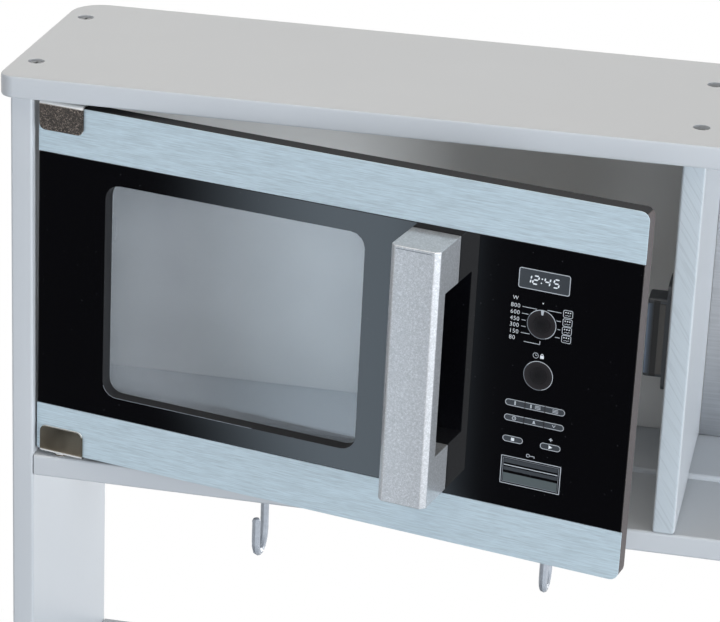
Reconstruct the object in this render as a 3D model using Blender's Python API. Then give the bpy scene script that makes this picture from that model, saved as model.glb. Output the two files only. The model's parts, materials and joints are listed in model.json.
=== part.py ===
"""Play kitchen: an open upper unit with a microwave bay over a low cooking and washing unit.

The frame is in metres with +Z up. The front faces -Y, +X is to the right seen from the front, and
the origin is the middle of the footprint on the floor. Hinged pieces hang from an empty on their
axis, so the rest pose here is the one with the microwave door standing a little open.
"""
import math

import bmesh
import bpy
from mathutils import Vector

# Boards and clearances
BOARD = 0.012
THIN_BOARD = 0.006
GAP = 0.0003
SOFT = 0.0015
EDGE = 0.0012
OVERRUN = 0.002

# The whole unit
BODY_W = 0.734
POST_D = 0.139
BASE_D = 0.300
WORKTOP_Z = 0.520
COUNTER_SPACE = 0.196
OVERHANG = 0.006
OVERHANG_FRONT = 0.004
WORKTOP_LIP = 0.008
TOP_CORNER = 0.018
TOP_FRONT_CORNER = 0.009
BACK_INSET = 0.006

# Upper unit
LEFT_BAY_W = 0.333
BAY_H = 0.200
SHELF_STEP = 0.003
SHELF_STEP_BACK = 0.072
SHELF_STEP_ROUND = 0.0018
STEEL_SHEET = 0.0008

# Doors
DOOR_T = 0.010
DOOR_SET = 0.0005
DOOR_CORNER = 0.0045
DOOR_SOFT = 0.0006
PIVOT_IN = 0.011
GAP_HINGE = 0.0035
GAP_FREE = 0.001
GAP_TOP = 0.0022
GAP_FOOT = 0.0035
OPEN_ANGLE = math.radians(11.5)
SAG_ANGLE = math.radians(0.5)
STRIP_TOP_H = 0.0263
STRIP_FOOT_H = 0.0265
STRIP_T = 0.0008
WINDOW_TOP_MARGIN = 0.0115
WINDOW_FOOT_MARGIN = 0.012
WINDOW_SIDE = 0.0392
WINDOW_W = 0.1448
WINDOW_CORNER = 0.008
PANE_T = 0.002
PANE_LAP = 0.006

# C-shaped handles
GRIP_W = 0.026
GRIP_L = 0.1363
GRIP_OUT = 0.029
GRIP_T = 0.0115
GRIP_FOOT = 0.0247
GRIP_CHAMFER = 0.0026
HANDLE_AFTER_WINDOW = 0.0247

# Pivot clips and pins
CLIP_W = 0.0255
CLIP_H = 0.0143
CLIP_T = 0.001
CLIP_CORNER = 0.0035
CLIP_BEND = 0.002
CLIP_SIDE = 0.0007
PIN_R = 0.002
PIN_CLEAR = 0.0005
PIN_IN_DOOR = 0.008
PIN_IN_BOARD = 0.008
PIN_COLLAR_R = 0.0045
PIN_TIP = 0.0006

# Magnet catch
CATCH_L = 0.043
CATCH_OUT = 0.012
CATCH_D = 0.015
CATCH_PLATE_L = 0.058
CATCH_PLATE_T = 0.0025
CATCH_PLATE_D = 0.024
CATCH_DOWN = 0.0975
CATCH_SOFT = 0.001
CATCH_POLE_W = 0.003
CATCH_POLE_OUT = 0.0006
STRIKER_T = 0.0008
STRIKER_W = 0.012
STRIKER_L = 0.038
STRIKER_IN = 0.002

# Hooks
HOOK_WIRE_R = 0.00235
HOOK_GAPE = 0.0195
HOOK_DROP = 0.0445
HOOK_PRONG = 0.0207
HOOK_Y = 0.040
HOOK_PITCH = 0.1572
HOOK_IN_BOARD = 0.008
HOOK_COLLAR_R = 0.005
HOOK_COLLAR_H = 0.0015
HOOK_TIP_R = 0.0025
HOOK_COUNT = 4

# Countersunk screws
SCREW_HEAD_R = 0.0042
SCREW_HEAD_H = 0.0028
SCREW_R = 0.0017
SCREW_L = 0.024
SCREW_INSET = 0.0255
SCREW_SINK = 0.0008
SCREW_SINK_MIDDLE = 0.0022
RECESS_W = 0.001
RECESS_L = 0.0046
RECESS_D = 0.0018

# Lower unit
PLINTH_H = 0.050
PLINTH_SET = 0.030
OVEN_OPENING_H = 0.250
RAIL_H = 0.056
SIDE_SWEEP = 0.090
SWEEP_ANGLE = math.radians(80)
FOOT_ARCH_H = 0.012
FOOT_L = 0.050
SPLASH_H = 0.040

# Sink and tap
SINK_W = 0.250
SINK_L = 0.172
SINK_DEPTH = 0.070
SINK_FLANGE = 0.012
SINK_CORNER = 0.045
SINK_FLOOR_CORNER = 0.030
SINK_TAPER = 0.012
SINK_T = 0.001
SINK_CROWN = 0.0005
SINK_FRONT = 0.022
DRAIN_R = 0.016
DRAIN_RIM = 0.005
STRAINER_T = 0.002
STRAINER_LAP = 0.003
STRAINER_DISH_R = 0.005
STRAINER_HOLES = 6
STRAINER_HOLES_R = 0.0096
TAP_BEHIND = 0.012
TAP_FLANGE_R = 0.017
TAP_FLANGE_H = 0.006
TAP_COLUMN_R = 0.010
TAP_COLUMN_H = 0.040
TAP_SPIGOT_R = 0.005
TAP_SPIGOT_H = 0.012
TAP_TUBE_R = 0.006
TAP_RISE = 0.045
TAP_BEND = 0.034
TAP_DROP = 0.022
TAP_MOUTH_R = 0.004
TAP_MOUTH_D = 0.004
LEVER_ARM_R = 0.004
LEVER_ARM_OUT = 0.007
LEVER_HUB_R = 0.007
LEVER_HUB_W = 0.012
LEVER_SOCKET_D = 0.0084
LEVER_L = 0.042
LEVER_R = 0.0035
LEVER_SWELL_R = 0.0044
LEVER_TIP_R = 0.0049
LEVER_SWELL_SHARE = 0.6
TAP_TAIL_R = 0.006
TAP_TAIL_L = 0.026

# Hob
HOB_W = 0.300
HOB_L = 0.190
HOB_T = 0.003
HOB_CORNER = 0.012
RING_R_LARGE = 0.058
RING_R_SMALL = 0.044
RING_GROOVE_W = 0.0016
RING_GROOVE_D = 0.0007
RING_APART = 0.136

# Knobs
KNOB_COUNT = 4
KNOB_R = 0.016
KNOB_FACE_R = 0.013
KNOB_H = 0.015
KNOB_SKIRT_H = 0.003
KNOB_GRIP_W = 0.007
KNOB_GRIP_H = 0.006
KNOB_GRIP_CORNER = 0.0028
KNOB_SHAFT_R = 0.003
KNOB_SHAFT_L = 0.0115
KNOB_PITCH = 0.078

# Oven rack
RACK_D = 0.205
RACK_WIRE_R = 0.002
RACK_RUNG_R = 0.0012
RACK_RUNGS = 9
RACK_CORNER = 0.010
RACK_TRAVEL = 0.045
RACK_FRONT = 0.022
RACK_UP = 0.105
GROOVE_D = 0.004
GROOVE_H = 0.0056
GROOVE_CORNER = 0.0025

# Oven door's pins
OVEN_PIVOT_UP = 0.008
OVEN_GAP_FOOT = 0.002
OVEN_SIDE_GAP = 0.0015

# Cupboard door
PANEL_MARGIN = 0.045
PANEL_GROOVE_W = 0.004
PANEL_GROOVE_D = 0.0012
CUPBOARD_HANDLE_IN = 0.046
CUPBOARD_GAP_FREE = 0.002

# Roundness of curves
CORNER_STEPS = 4
SMALL_CORNER_STEPS = 3
ARC_STEPS = 8
ROUND_STEPS = 20
SMALL_STEPS = 10
WIRE_SIDES = 8
RUNG_SIDES = 6
RIM_STEPS = 2
SMOOTH_ANGLE = math.radians(32)

# Places worked out from the sizes above
FULL_D = BASE_D + OVERHANG_FRONT + GRIP_OUT - DOOR_SET
REAR_Y = FULL_D / 2 - OVERHANG_FRONT
POST_Y = REAR_Y - POST_D
BASE_Y = REAR_Y - BASE_D
BACK_Y = REAR_Y - BACK_INSET - THIN_BOARD
HALF_W = BODY_W / 2
INNER_W = BODY_W - 2 * BOARD
SHELF_UNDER = WORKTOP_Z + COUNTER_SPACE
SHELF_Z = SHELF_UNDER + BOARD
TOP_UNDER = SHELF_Z + BAY_H
TOTAL_H = TOP_UNDER + BOARD
DIVIDER_X = -HALF_W + BOARD + LEFT_BAY_W
RIGHT_BAY_X = DIVIDER_X + BOARD
WORKTOP_UNDER = WORKTOP_Z - BOARD
FLOOR_Z = PLINTH_H + BOARD
BASE_BAY_W = (BODY_W - 3 * BOARD) / 2
OVEN_X = -(BOARD + BASE_BAY_W) / 2
SINK_X = -OVEN_X
OVEN_TOP = WORKTOP_UNDER - RAIL_H
OVEN_FLOOR_Z = OVEN_TOP - OVEN_OPENING_H
HEARTH_Y = BASE_Y + SINK_FRONT + SINK_L / 2
TAP_Y = HEARTH_Y + SINK_L / 2 + TAP_BEHIND + TAP_FLANGE_R
KNOB_Z = OVEN_TOP + (RAIL_H - GAP) / 2
RACK_Z = OVEN_FLOOR_Z + RACK_UP

# Hinge axes: the upright ones as (x, y), the oven's level one as (y, z)
MICROWAVE_AXIS = (-HALF_W + BOARD + GAP_HINGE + PIVOT_IN, POST_Y + DOOR_SET + DOOR_T / 2)
OVEN_AXIS = (BASE_Y + DOOR_SET + DOOR_T / 2, OVEN_FLOOR_Z + OVEN_GAP_FOOT + OVEN_PIVOT_UP)
CUPBOARD_AXIS = (HALF_W - BOARD - GAP_HINGE - PIVOT_IN, BASE_Y + DOOR_SET + DOOR_T / 2)

MATERIALS = {
    "grey_lacquer": ((0.55, 0.57, 0.59), 0.0, 0.32),
    "black_gloss": ((0.006, 0.006, 0.008), 0.0, 0.10),
    "aluminium_strip": ((0.45, 0.56, 0.62), 0.7, 0.35),
    "silver_lacquer": ((0.48, 0.48, 0.50), 0.5, 0.38),
    "clear_pane": ((0.85, 0.88, 0.90), 0.0, 0.05),
    "nickel": ((0.30, 0.28, 0.25), 1.0, 0.25),
    "catch_plastic": ((0.02, 0.02, 0.022), 0.0, 0.45),
    "hook_grey": ((0.28, 0.28, 0.30), 0.0, 0.40),
    "brushed_steel": ((0.55, 0.55, 0.56), 1.0, 0.30),
    "screw_steel": ((0.50, 0.50, 0.50), 1.0, 0.28),
    "hob_glass": ((0.01, 0.01, 0.012), 0.0, 0.06),
    "knob_plastic": ((0.42, 0.42, 0.44), 0.3, 0.40),
}


def clear_scene():
    """Removes whatever the session started with."""
    for obj in list(bpy.data.objects):
        bpy.data.objects.remove(obj, do_unlink=True)


def make_materials():
    """One Principled material for each stuff the kitchen is made of."""
    for name, (color, metallic, roughness) in MATERIALS.items():
        material = bpy.data.materials.new(name)
        material.use_nodes = True
        shader = material.node_tree.nodes["Principled BSDF"]
        shader.inputs["Base Color"].default_value = (*color, 1.0)
        shader.inputs["Metallic"].default_value = metallic
        shader.inputs["Roughness"].default_value = roughness
        material.diffuse_color = (*color, 1.0)


def hang(name, location, rotation=(0, 0, 0), parent=None):
    """An empty on a joint's axis, for the pieces that move with it."""
    empty = bpy.data.objects.new(name, None)
    bpy.context.collection.objects.link(empty)
    empty.location = location
    empty.rotation_euler = rotation
    empty.parent = parent
    return empty


def piece(name, shape, material, location=(0, 0, 0), parent=None, rotation=(0, 0, 0)):
    """Turns a finished bmesh into a named object with its material."""
    bmesh.ops.recalc_face_normals(shape, faces=shape.faces)
    mesh = bpy.data.meshes.new(name)
    shape.to_mesh(mesh)
    shape.free()
    mesh.materials.append(bpy.data.materials[material])
    mesh.polygons.foreach_set("use_smooth", [True] * len(mesh.polygons))
    mesh.set_sharp_from_angle(angle=SMOOTH_ANGLE)
    obj = bpy.data.objects.new(name, mesh)
    bpy.context.collection.objects.link(obj)
    obj.location = location
    obj.rotation_euler = rotation
    obj.parent = parent
    return obj


def alter(target, shape, operation="DIFFERENCE"):
    """Cuts the shape out of the target, or joins it on; the shape is in the target's own frame."""
    count = len(target.modifiers)
    tool = piece(f"{target.name}_tool_{count}", shape, target.data.materials[0].name,
                 target.location, target.parent, target.rotation_euler)
    tool.hide_render = True
    tool.display_type = "WIRE"
    modifier = target.modifiers.new(f"{operation.lower()}_{count}", "BOOLEAN")
    modifier.operation = operation
    modifier.solver = "EXACT"
    modifier.object = tool


def rounded(points, radii, steps=CORNER_STEPS):
    """A closed outline with each corner turned into an arc of its own radius."""
    outline = []
    for index, point in enumerate(points):
        corner = Vector(point)
        radius = radii[index] if isinstance(radii, (list, tuple)) else radii
        if radius <= 0:
            outline.append(corner)
            continue
        before = (Vector(points[index - 1]) - corner).normalized()
        after = (Vector(points[(index + 1) % len(points)]) - corner).normalized()
        half = before.angle(after) / 2
        centre = corner + (before + after).normalized() * radius / math.sin(half)
        start = corner + before * radius / math.tan(half) - centre
        sweep = math.pi - 2 * half
        turn = -1 if before.cross(after) > 0 else 1
        for step in range(steps + 1):
            angle = turn * sweep * step / steps
            outline.append(centre + Vector((start.x * math.cos(angle) - start.y * math.sin(angle),
                                            start.x * math.sin(angle) + start.y * math.cos(angle))))
    return outline


def rectangle(left, right, low, high, radius=0, steps=CORNER_STEPS):
    """A rectangle's outline, its corners rounded."""
    return rounded([(left, low), (right, low), (right, high), (left, high)], radius, steps)


def circle(radius, steps=ROUND_STEPS, centre=(0, 0)):
    """A circle as an outline."""
    turns = [2 * math.pi * step / steps for step in range(steps)]
    return [Vector((centre[0] + radius * math.cos(turn), centre[1] + radius * math.sin(turn)))
            for turn in turns]


def place(plane, across, up, along):
    """A point given in a drawing plane and along its normal, as x, y, z."""
    if plane == "XY":
        return (across, up, along)
    if plane == "YZ":
        return (along, across, up)
    return (across, along, up)


def gather(body, shape):
    """Adds a finished body to a shape that holds several, or starts one with it."""
    if shape is None:
        return body
    mesh = bpy.data.meshes.new("gathered")
    body.to_mesh(mesh)
    body.free()
    shape.from_mesh(mesh)
    bpy.data.meshes.remove(mesh)
    return shape


def close_ends(body):
    """Fills the open rims of a body."""
    bmesh.ops.holes_fill(body, edges=[edge for edge in body.edges if edge.is_boundary])


def loft(rings, closed=False):
    """Bridges rings of points into one body, capped at its ends or closed into a loop."""
    body = bmesh.new()
    loops = []
    for ring in rings:
        corners = [body.verts.new(point) for point in ring]
        loops.append([body.edges.new(pair) for pair in zip(corners, corners[1:] + corners[:1])])
    following = loops[1:] + loops[:1] if closed else loops[1:]
    for first, second in zip(loops, following):
        bmesh.ops.bridge_loops(body, edges=first + second)
    close_ends(body)
    return body


def slab(outline, low, high, soft=0, plane="XY", shape=None):
    """An outline extruded from low to high, the rims of both faces bevelled round."""
    body = bmesh.new()
    base = body.faces.new([body.verts.new(place(plane, p.x, p.y, low)) for p in outline])
    drawn = bmesh.ops.extrude_face_region(body, geom=[base])["geom"]
    bmesh.ops.translate(body, verts=[item for item in drawn if isinstance(item, bmesh.types.BMVert)],
                        vec=place(plane, 0, 0, high - low))
    if soft:
        caps = [base] + [item for item in drawn if isinstance(item, bmesh.types.BMFace)]
        rims = {edge for cap in caps for edge in cap.edges}
        bmesh.ops.bevel(body, geom=list(rims), offset=soft, segments=RIM_STEPS, profile=0.5,
                        affect="EDGES")
    return gather(body, shape)


def lathe(profile, steps=ROUND_STEPS, plane="XY", centre=(0, 0), closed=False, shape=None):
    """A profile of (radius, height) pairs spun about the normal of the plane."""
    body = bmesh.new()
    points = [body.verts.new(place(plane, centre[0] + radius, centre[1], height))
              for radius, height in profile]
    following = points[1:] + points[:1] if closed else points[1:]
    lines = [body.edges.new(pair) for pair in zip(points, following)]
    bmesh.ops.spin(body, geom=points + lines, cent=place(plane, *centre, 0), axis=place(plane, 0, 0, 1),
                   angle=2 * math.pi, steps=steps, use_merge=True)
    close_ends(body)
    return gather(body, shape)


def tube(path, radius, sides=WIRE_SIDES, closed=False, shape=None):
    """A round bar along a path: a bevelled curve with filled ends, taken as a mesh."""
    curve = bpy.data.curves.new("bar", "CURVE")
    curve.dimensions = "3D"
    curve.bevel_depth = radius
    curve.bevel_resolution = sides // 2 - 2
    curve.use_fill_caps = not closed
    spline = curve.splines.new("POLY")
    spline.points.add(len(path) - 1)
    for point, spot in zip(spline.points, path):
        point.co = (*spot, 1)
    spline.use_cyclic_u = closed
    bar = bpy.data.objects.new("bar", curve)
    mesh = bpy.data.meshes.new_from_object(bar)
    body = bmesh.new()
    body.from_mesh(mesh)
    bmesh.ops.remove_doubles(body, verts=body.verts, dist=GAP / 10)
    bpy.data.objects.remove(bar)
    bpy.data.curves.remove(curve)
    bpy.data.meshes.remove(mesh)
    return gather(body, shape)


def bend(centre, radius, start, end, steps):
    """Points on an arc in the YZ plane through the centre."""
    points = []
    for step in range(steps + 1):
        angle = start + (end - start) * step / steps
        points.append(Vector(centre) + radius * Vector((0, math.cos(angle), math.sin(angle))))
    return points


def board(name, size, centre, material="grey_lacquer", thin="z", soft=SOFT, corner=0):
    """A flat board with softened edges, its origin in its middle."""
    width, depth, height = size
    if thin == "z":
        shape = slab(rectangle(-width / 2, width / 2, -depth / 2, depth / 2, corner),
                     -height / 2, height / 2, soft)
    elif thin == "x":
        shape = slab(rectangle(-depth / 2, depth / 2, -height / 2, height / 2, corner),
                     -width / 2, width / 2, soft, "YZ")
    else:
        shape = slab(rectangle(-width / 2, width / 2, -height / 2, height / 2, corner),
                     -depth / 2, depth / 2, soft, "XZ")
    return piece(name, shape, material, centre)


def side_outline():
    """The side panel seen from its end: a deep foot, a slot for the worktop and a narrow post."""
    slot_top = WORKTOP_Z + GAP
    slot_low = WORKTOP_UNDER - GAP
    heel = BASE_D - FOOT_L
    front = [(-BASE_D, 0), (-BASE_D, slot_low), (-POST_D, slot_low), (-POST_D, slot_top),
             (-POST_D - SIDE_SWEEP, slot_top)]
    radii = [0, 2 * SOFT, 0, 0, 0]
    sweep = [(point.y, point.z) for point in
             bend((0, -POST_D - SIDE_SWEEP, slot_top + SIDE_SWEEP), SIDE_SWEEP, -SWEEP_ANGLE, 0, ARC_STEPS)]
    top = [(-POST_D, TOP_UNDER - GAP), (0, TOP_UNDER - GAP)]
    foot = [(0, 0), (-FOOT_L, 0), (-FOOT_L - FOOT_ARCH_H, FOOT_ARCH_H),
            (-heel + FOOT_ARCH_H, FOOT_ARCH_H), (-heel, 0)]
    points = front + sweep + top + foot
    radii += [0] * len(sweep) + [0, 0] + [0, 0, FOOT_ARCH_H / 2, FOOT_ARCH_H / 2, 0]
    return rounded(points, radii, SMALL_CORNER_STEPS)


def side_panel(name, inner_x, outward):
    """One side panel; its origin is at the foot of its rear edge on the inner face."""
    low, high = sorted((0, outward * BOARD))
    shape = slab(side_outline(), low, high, SOFT, "YZ")
    panel = piece(name, shape, "grey_lacquer", (inner_x, REAR_Y, 0))
    for down in (SCREW_INSET, POST_D - SCREW_INSET):
        alter(panel, screw_bore(outward * BOARD / 2, -down, TOP_UNDER - GAP, SCREW_L))
    return panel


def screw_bore(x, y, top, depth):
    """The narrow hole that a screw's shank runs in."""
    clear = SCREW_R + GAP
    profile = [(clear, top - depth), (clear, top + OVERRUN)]
    return lathe(profile, SMALL_STEPS, centre=(x, y))


def top_screw_places():
    """Where the top board is screwed to the sides and the shallower divider, and how deep."""
    columns = ((-HALF_W + BOARD / 2, REAR_Y, SCREW_SINK), (DIVIDER_X + BOARD / 2, BACK_Y, SCREW_SINK_MIDDLE),
               (HALF_W - BOARD / 2, REAR_Y, SCREW_SINK))
    return [(x, y, sink) for x, rear, sink in columns for y in (POST_Y + SCREW_INSET, rear - SCREW_INSET)]


def top_board():
    """The rounded top board with its countersunk holes, and the screws in them."""
    depth = POST_D + 2 * OVERHANG_FRONT
    centre = Vector((0, (POST_Y + REAR_Y) / 2, TOTAL_H - BOARD / 2))
    corners = [TOP_FRONT_CORNER, TOP_FRONT_CORNER, TOP_CORNER, TOP_CORNER]
    outline = rectangle(-HALF_W - OVERHANG, HALF_W + OVERHANG, -depth / 2, depth / 2, corners, ARC_STEPS)
    top = piece("top_board", slab(outline, -BOARD / 2, BOARD / 2, SOFT), "grey_lacquer", centre)
    holes = bmesh.new()
    for x, y, sink in top_screw_places():
        face = BOARD / 2 - sink
        clear = SCREW_R + GAP
        wide = SCREW_HEAD_R + GAP
        profile = [(clear, -BOARD / 2 - OVERRUN), (clear, face - SCREW_HEAD_H), (wide, face),
                   (wide, BOARD / 2 + OVERRUN)]
        lathe(profile, SMALL_STEPS, centre=(x - centre.x, y - centre.y), shape=holes)
    alter(top, holes)
    pin_hole = bore_round(MICROWAVE_AXIS[0] - centre.x, MICROWAVE_AXIS[1] - centre.y,
                          -BOARD / 2 - OVERRUN, -BOARD / 2 + PIN_IN_BOARD + GAP)
    alter(top, pin_hole)
    for number, (x, y, sink) in enumerate(top_screw_places(), 1):
        top_screw(f"top_screw_{number}", (x, y, TOTAL_H - sink))


def bore_round(x, y, low, high, plane="XY", radius=PIN_R + GAP):
    """A plain round hole for a pin."""
    return lathe([(radius, low), (radius, high)], SMALL_STEPS, plane, (x, y))


def top_screw(name, head):
    """A countersunk cross-head screw; its origin is in the middle of its head's face."""
    profile = [(SCREW_R / 2, -SCREW_L + GAP), (SCREW_R, -SCREW_L + GAP + SCREW_R),
               (SCREW_R, -SCREW_HEAD_H), (SCREW_HEAD_R, 0)]
    screw = piece(name, lathe(profile, SMALL_STEPS), "screw_steel", head)
    cross = bmesh.new()
    reach = RECESS_L / 2
    half = RECESS_W / 2
    arms = [(-reach, -half), (-half, -half), (-half, -reach), (half, -reach), (half, -half),
            (reach, -half), (reach, half), (half, half), (half, reach), (-half, reach),
            (-half, half), (-reach, half)]
    slab([Vector(point) for point in arms], -RECESS_D, OVERRUN, shape=cross)
    alter(screw, cross)


def shelf_board():
    """The board under the bays, one piece with a low step across it, bored for the hooks."""
    step_y = SHELF_STEP_BACK
    points = [(0, 0), (POST_D, 0), (POST_D, BOARD + SHELF_STEP), (step_y, BOARD + SHELF_STEP),
              (step_y, BOARD), (0, BOARD)]
    outline = rounded(points, [SOFT, SOFT, EDGE, SHELF_STEP_ROUND, 0, SOFT])
    half = INNER_W / 2 - GAP
    shelf = piece("shelf_board", slab(outline, -half, half, 0, "YZ"), "grey_lacquer",
                  (0, POST_Y, SHELF_UNDER))
    holes = bmesh.new()
    for x in hook_places():
        lathe([(HOOK_WIRE_R + GAP, -OVERRUN), (HOOK_WIRE_R + GAP, HOOK_IN_BOARD + GAP)],
              SMALL_STEPS, centre=(x, HOOK_Y), shape=holes)
    alter(shelf, holes)
    alter(shelf, bore_round(MICROWAVE_AXIS[0], MICROWAVE_AXIS[1] - POST_Y,
                            BOARD - PIN_IN_BOARD - GAP, BOARD + OVERRUN))


def even_row(count, pitch, middle=0):
    """Places in an even row about a middle, in x."""
    return [middle + pitch * (index - (count - 1) / 2) for index in range(count)]


def hook_places():
    """Where the hooks stand under the shelf, in x."""
    return even_row(HOOK_COUNT, HOOK_PITCH)


def hook(name, x):
    """A bent wire hook open to the front, with a collar; its origin is at the shelf's underside."""
    turn = HOOK_GAPE / 2
    low = -HOOK_DROP + HOOK_WIRE_R + turn
    path = [Vector((0, 0, HOOK_IN_BOARD)), Vector((0, 0, -HOOK_COLLAR_H))]
    path += bend((0, -turn, low), turn, 0, -math.pi, ARC_STEPS)
    path.append(Vector((0, -HOOK_GAPE, -HOOK_PRONG)))
    wire = piece(name, tube(path, HOOK_WIRE_R), "hook_grey", (x, POST_Y + HOOK_Y, SHELF_UNDER))
    collar = lathe([(HOOK_COLLAR_R, -GAP - HOOK_COLLAR_H), (HOOK_COLLAR_R, -GAP)], SMALL_STEPS)
    alter(wire, collar, "UNION")
    tip = bmesh.new()
    bmesh.ops.create_uvsphere(tip, u_segments=WIRE_SIDES, v_segments=WIRE_SIDES // 2, radius=HOOK_TIP_R)
    bmesh.ops.translate(tip, verts=tip.verts, vec=path[-1])
    alter(wire, tip, "UNION")


def upper_divider():
    """The upright between the bays, notched over the shelf's step."""
    deep = BACK_Y - GAP - POST_Y
    high = TOP_UNDER - SHELF_Z - 2 * GAP
    points = [(0, 0), (SHELF_STEP_BACK - GAP, 0), (SHELF_STEP_BACK - GAP, SHELF_STEP),
              (deep, SHELF_STEP), (deep, high), (0, high)]
    outline = rounded(points, 0)
    panel = piece("upper_divider", slab(outline, 0, BOARD, SOFT, "YZ"), "grey_lacquer",
                  (DIVIDER_X, POST_Y, SHELF_Z + GAP))
    for down in (SCREW_INSET, BACK_Y - POST_Y - SCREW_INSET):
        alter(panel, screw_bore(BOARD / 2, down, high, SCREW_L - GAP))


def upper_back():
    """The thin board behind both bays and the steel-look sheet in the open bay."""
    low = SHELF_Z + SHELF_STEP + GAP
    high = TOP_UNDER - GAP
    board("upper_back_panel", (INNER_W - 2 * GAP, THIN_BOARD, high - low),
          (0, BACK_Y + THIN_BOARD / 2, (low + high) / 2), thin="y", soft=GAP)
    left = RIGHT_BAY_X + GAP
    right = HALF_W - BOARD - GAP
    sheet = STEEL_SHEET
    board("steel_back_sheet", (right - left, sheet, high - low),
          ((left + right) / 2, BACK_Y - GAP - sheet / 2, (low + high) / 2), "brushed_steel", "y", 0)


def window_door(name, parent, size, window, free_side, pins):
    """A black door with let-in strips, a window and a pane behind it.

    The door's frame has its origin on the hinge axis; size is (left, right, low, high) in that frame,
    window is (left, right), and each pin is (plane, first, second, low, high) of its bore.
    """
    left, right, low, high = size
    front = -DOOR_T / 2
    radii = [DOOR_CORNER if corner in free_side else EDGE for corner in range(4)]
    outline = rounded([(left, low), (right, low), (right, high), (left, high)], radii)
    door = piece(name + "_door", slab(outline, front, -front, DOOR_SOFT, "XZ"), "black_gloss", parent=parent)
    view = (window[0], window[1], low + STRIP_FOOT_H + WINDOW_FOOT_MARGIN,
            high - STRIP_TOP_H - WINDOW_TOP_MARGIN)
    alter(door, slab(rectangle(*view, WINDOW_CORNER), front - OVERRUN, -front + OVERRUN, 0, "XZ"))
    lap = (view[0] - PANE_LAP, view[1] + PANE_LAP, view[2] - PANE_LAP, view[3] + PANE_LAP)
    alter(door, slab(rectangle(*lap, EDGE), -front - PANE_T - GAP, -front + OVERRUN, 0, "XZ"))
    pane = (lap[0] + GAP, lap[1] - GAP, lap[2] + GAP, lap[3] - GAP)
    piece(name + "_pane", slab(rectangle(*pane, EDGE), -front - PANE_T, -front, 0, "XZ"), "clear_pane",
          parent=parent)
    strips = (("top", high - STRIP_TOP_H, high, (2, 3)), ("bottom", low, low + STRIP_FOOT_H, (0, 1)))
    for label, foot, top, corners in strips:
        reach = [(left, foot), (right, foot), (right, top), (left, top)]
        rounding = [(DOOR_CORNER if corner in free_side else EDGE) if corner in corners else 0
                    for corner in range(4)]
        bed_low = foot - (OVERRUN if label == "bottom" else GAP)
        bed_high = top + (OVERRUN if label == "top" else GAP)
        bed = rectangle(left - OVERRUN, right + OVERRUN, bed_low, bed_high)
        alter(door, slab(bed, front - OVERRUN, front + STRIP_T + GAP, 0, "XZ"))
        strip = slab(rounded(reach, rounding), front, front + STRIP_T, 0, "XZ")
        piece(f"{name}_strip_{label}", strip, "aluminium_strip", parent=parent)
    for plane, across, up, start, end in pins:
        alter(door, bore_round(across, up, start, end, plane, PIN_R + PIN_CLEAR))
    return door


def handle(name, parent, centre, upright=True):
    """A square-cut C-shaped bar whose two long front edges are chamfered; centre is its middle."""
    half = GRIP_L / 2
    front = -GRIP_OUT + GAP
    inner = -GRIP_OUT + GRIP_T
    points = [(0, -half), (0, -half + GRIP_FOOT), (inner, -half + GRIP_FOOT), (inner, half - GRIP_FOOT),
              (0, half - GRIP_FOOT), (0, half), (front, half), (front, -half)]
    if upright:
        shape = slab([Vector(point) for point in points], -GRIP_W / 2, GRIP_W / 2, 0, "YZ")
    else:
        shape = slab([Vector((up, out)) for out, up in points], -GRIP_W / 2, GRIP_W / 2)
    long_edges = [edge for edge in shape.edges if edge.calc_length() > GRIP_L - GAP
                  and max(corner.co.y for corner in edge.verts) < inner]
    bmesh.ops.bevel(shape, geom=long_edges, offset=GRIP_CHAMFER, segments=1, affect="EDGES")
    spot = (centre[0], -DOOR_T / 2 - GAP, centre[1])
    return piece(name + "_handle", shape, "silver_lacquer", spot, parent)


def pivot_clip(name, parent, left, edge, inward, bore_x):
    """A U-shaped sheet clip over the door's edge; edge is the door's end in z, inward its sense."""
    reach = DOOR_T / 2 + GAP + CLIP_T
    inner = DOOR_T / 2 + GAP
    far = edge + inward * CLIP_H
    web = edge - inward * (GAP + CLIP_T)
    span = sorted((far, web))
    radii = [CLIP_CORNER, CLIP_CORNER, 0, 0] if inward < 0 else [0, 0, CLIP_CORNER, CLIP_CORNER]
    plate = rectangle(left, left + CLIP_W, span[0], span[1], radii, SMALL_CORNER_STEPS)
    shape = slab(plate, -reach, reach, GAP, "XZ")
    folds = [line for line in shape.edges
             if all(abs(corner.co.z - web) < GAP / 2 and abs(corner.co.y) > inner for corner in line.verts)
             and line.calc_length() > CLIP_W / 2]
    bmesh.ops.bevel(shape, geom=folds, offset=CLIP_BEND - GAP, segments=SMALL_CORNER_STEPS, affect="EDGES")
    clip = piece(name, shape, "nickel", parent=parent)
    hollow = sorted((far + inward * OVERRUN, edge - inward * GAP))
    trough = rectangle(left - OVERRUN, left + CLIP_W + OVERRUN, hollow[0], hollow[1])
    alter(clip, slab(trough, -inner, inner, 0, "XZ"))
    ends = sorted((edge + inward * OVERRUN, web - inward * OVERRUN))
    alter(clip, bore_round(bore_x, 0, ends[0], ends[1], "XY", PIN_R + PIN_CLEAR))


def pivot_pin(name, location, into_board, into_door, collar=0, rotation=(0, 0, 0)):
    """A pin along its own z, with its origin where it leaves the board; a collar carries the door."""
    profile = [(PIN_R, -into_board), (PIN_R, 0)]
    if collar:
        profile += [(PIN_R, GAP), (PIN_COLLAR_R, GAP), (PIN_COLLAR_R, collar), (PIN_R, collar)]
    profile += [(PIN_R, into_door - PIN_TIP), (PIN_R - PIN_TIP, into_door)]
    piece(name, lathe(profile, SMALL_STEPS), "nickel", location, rotation=rotation)


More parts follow.
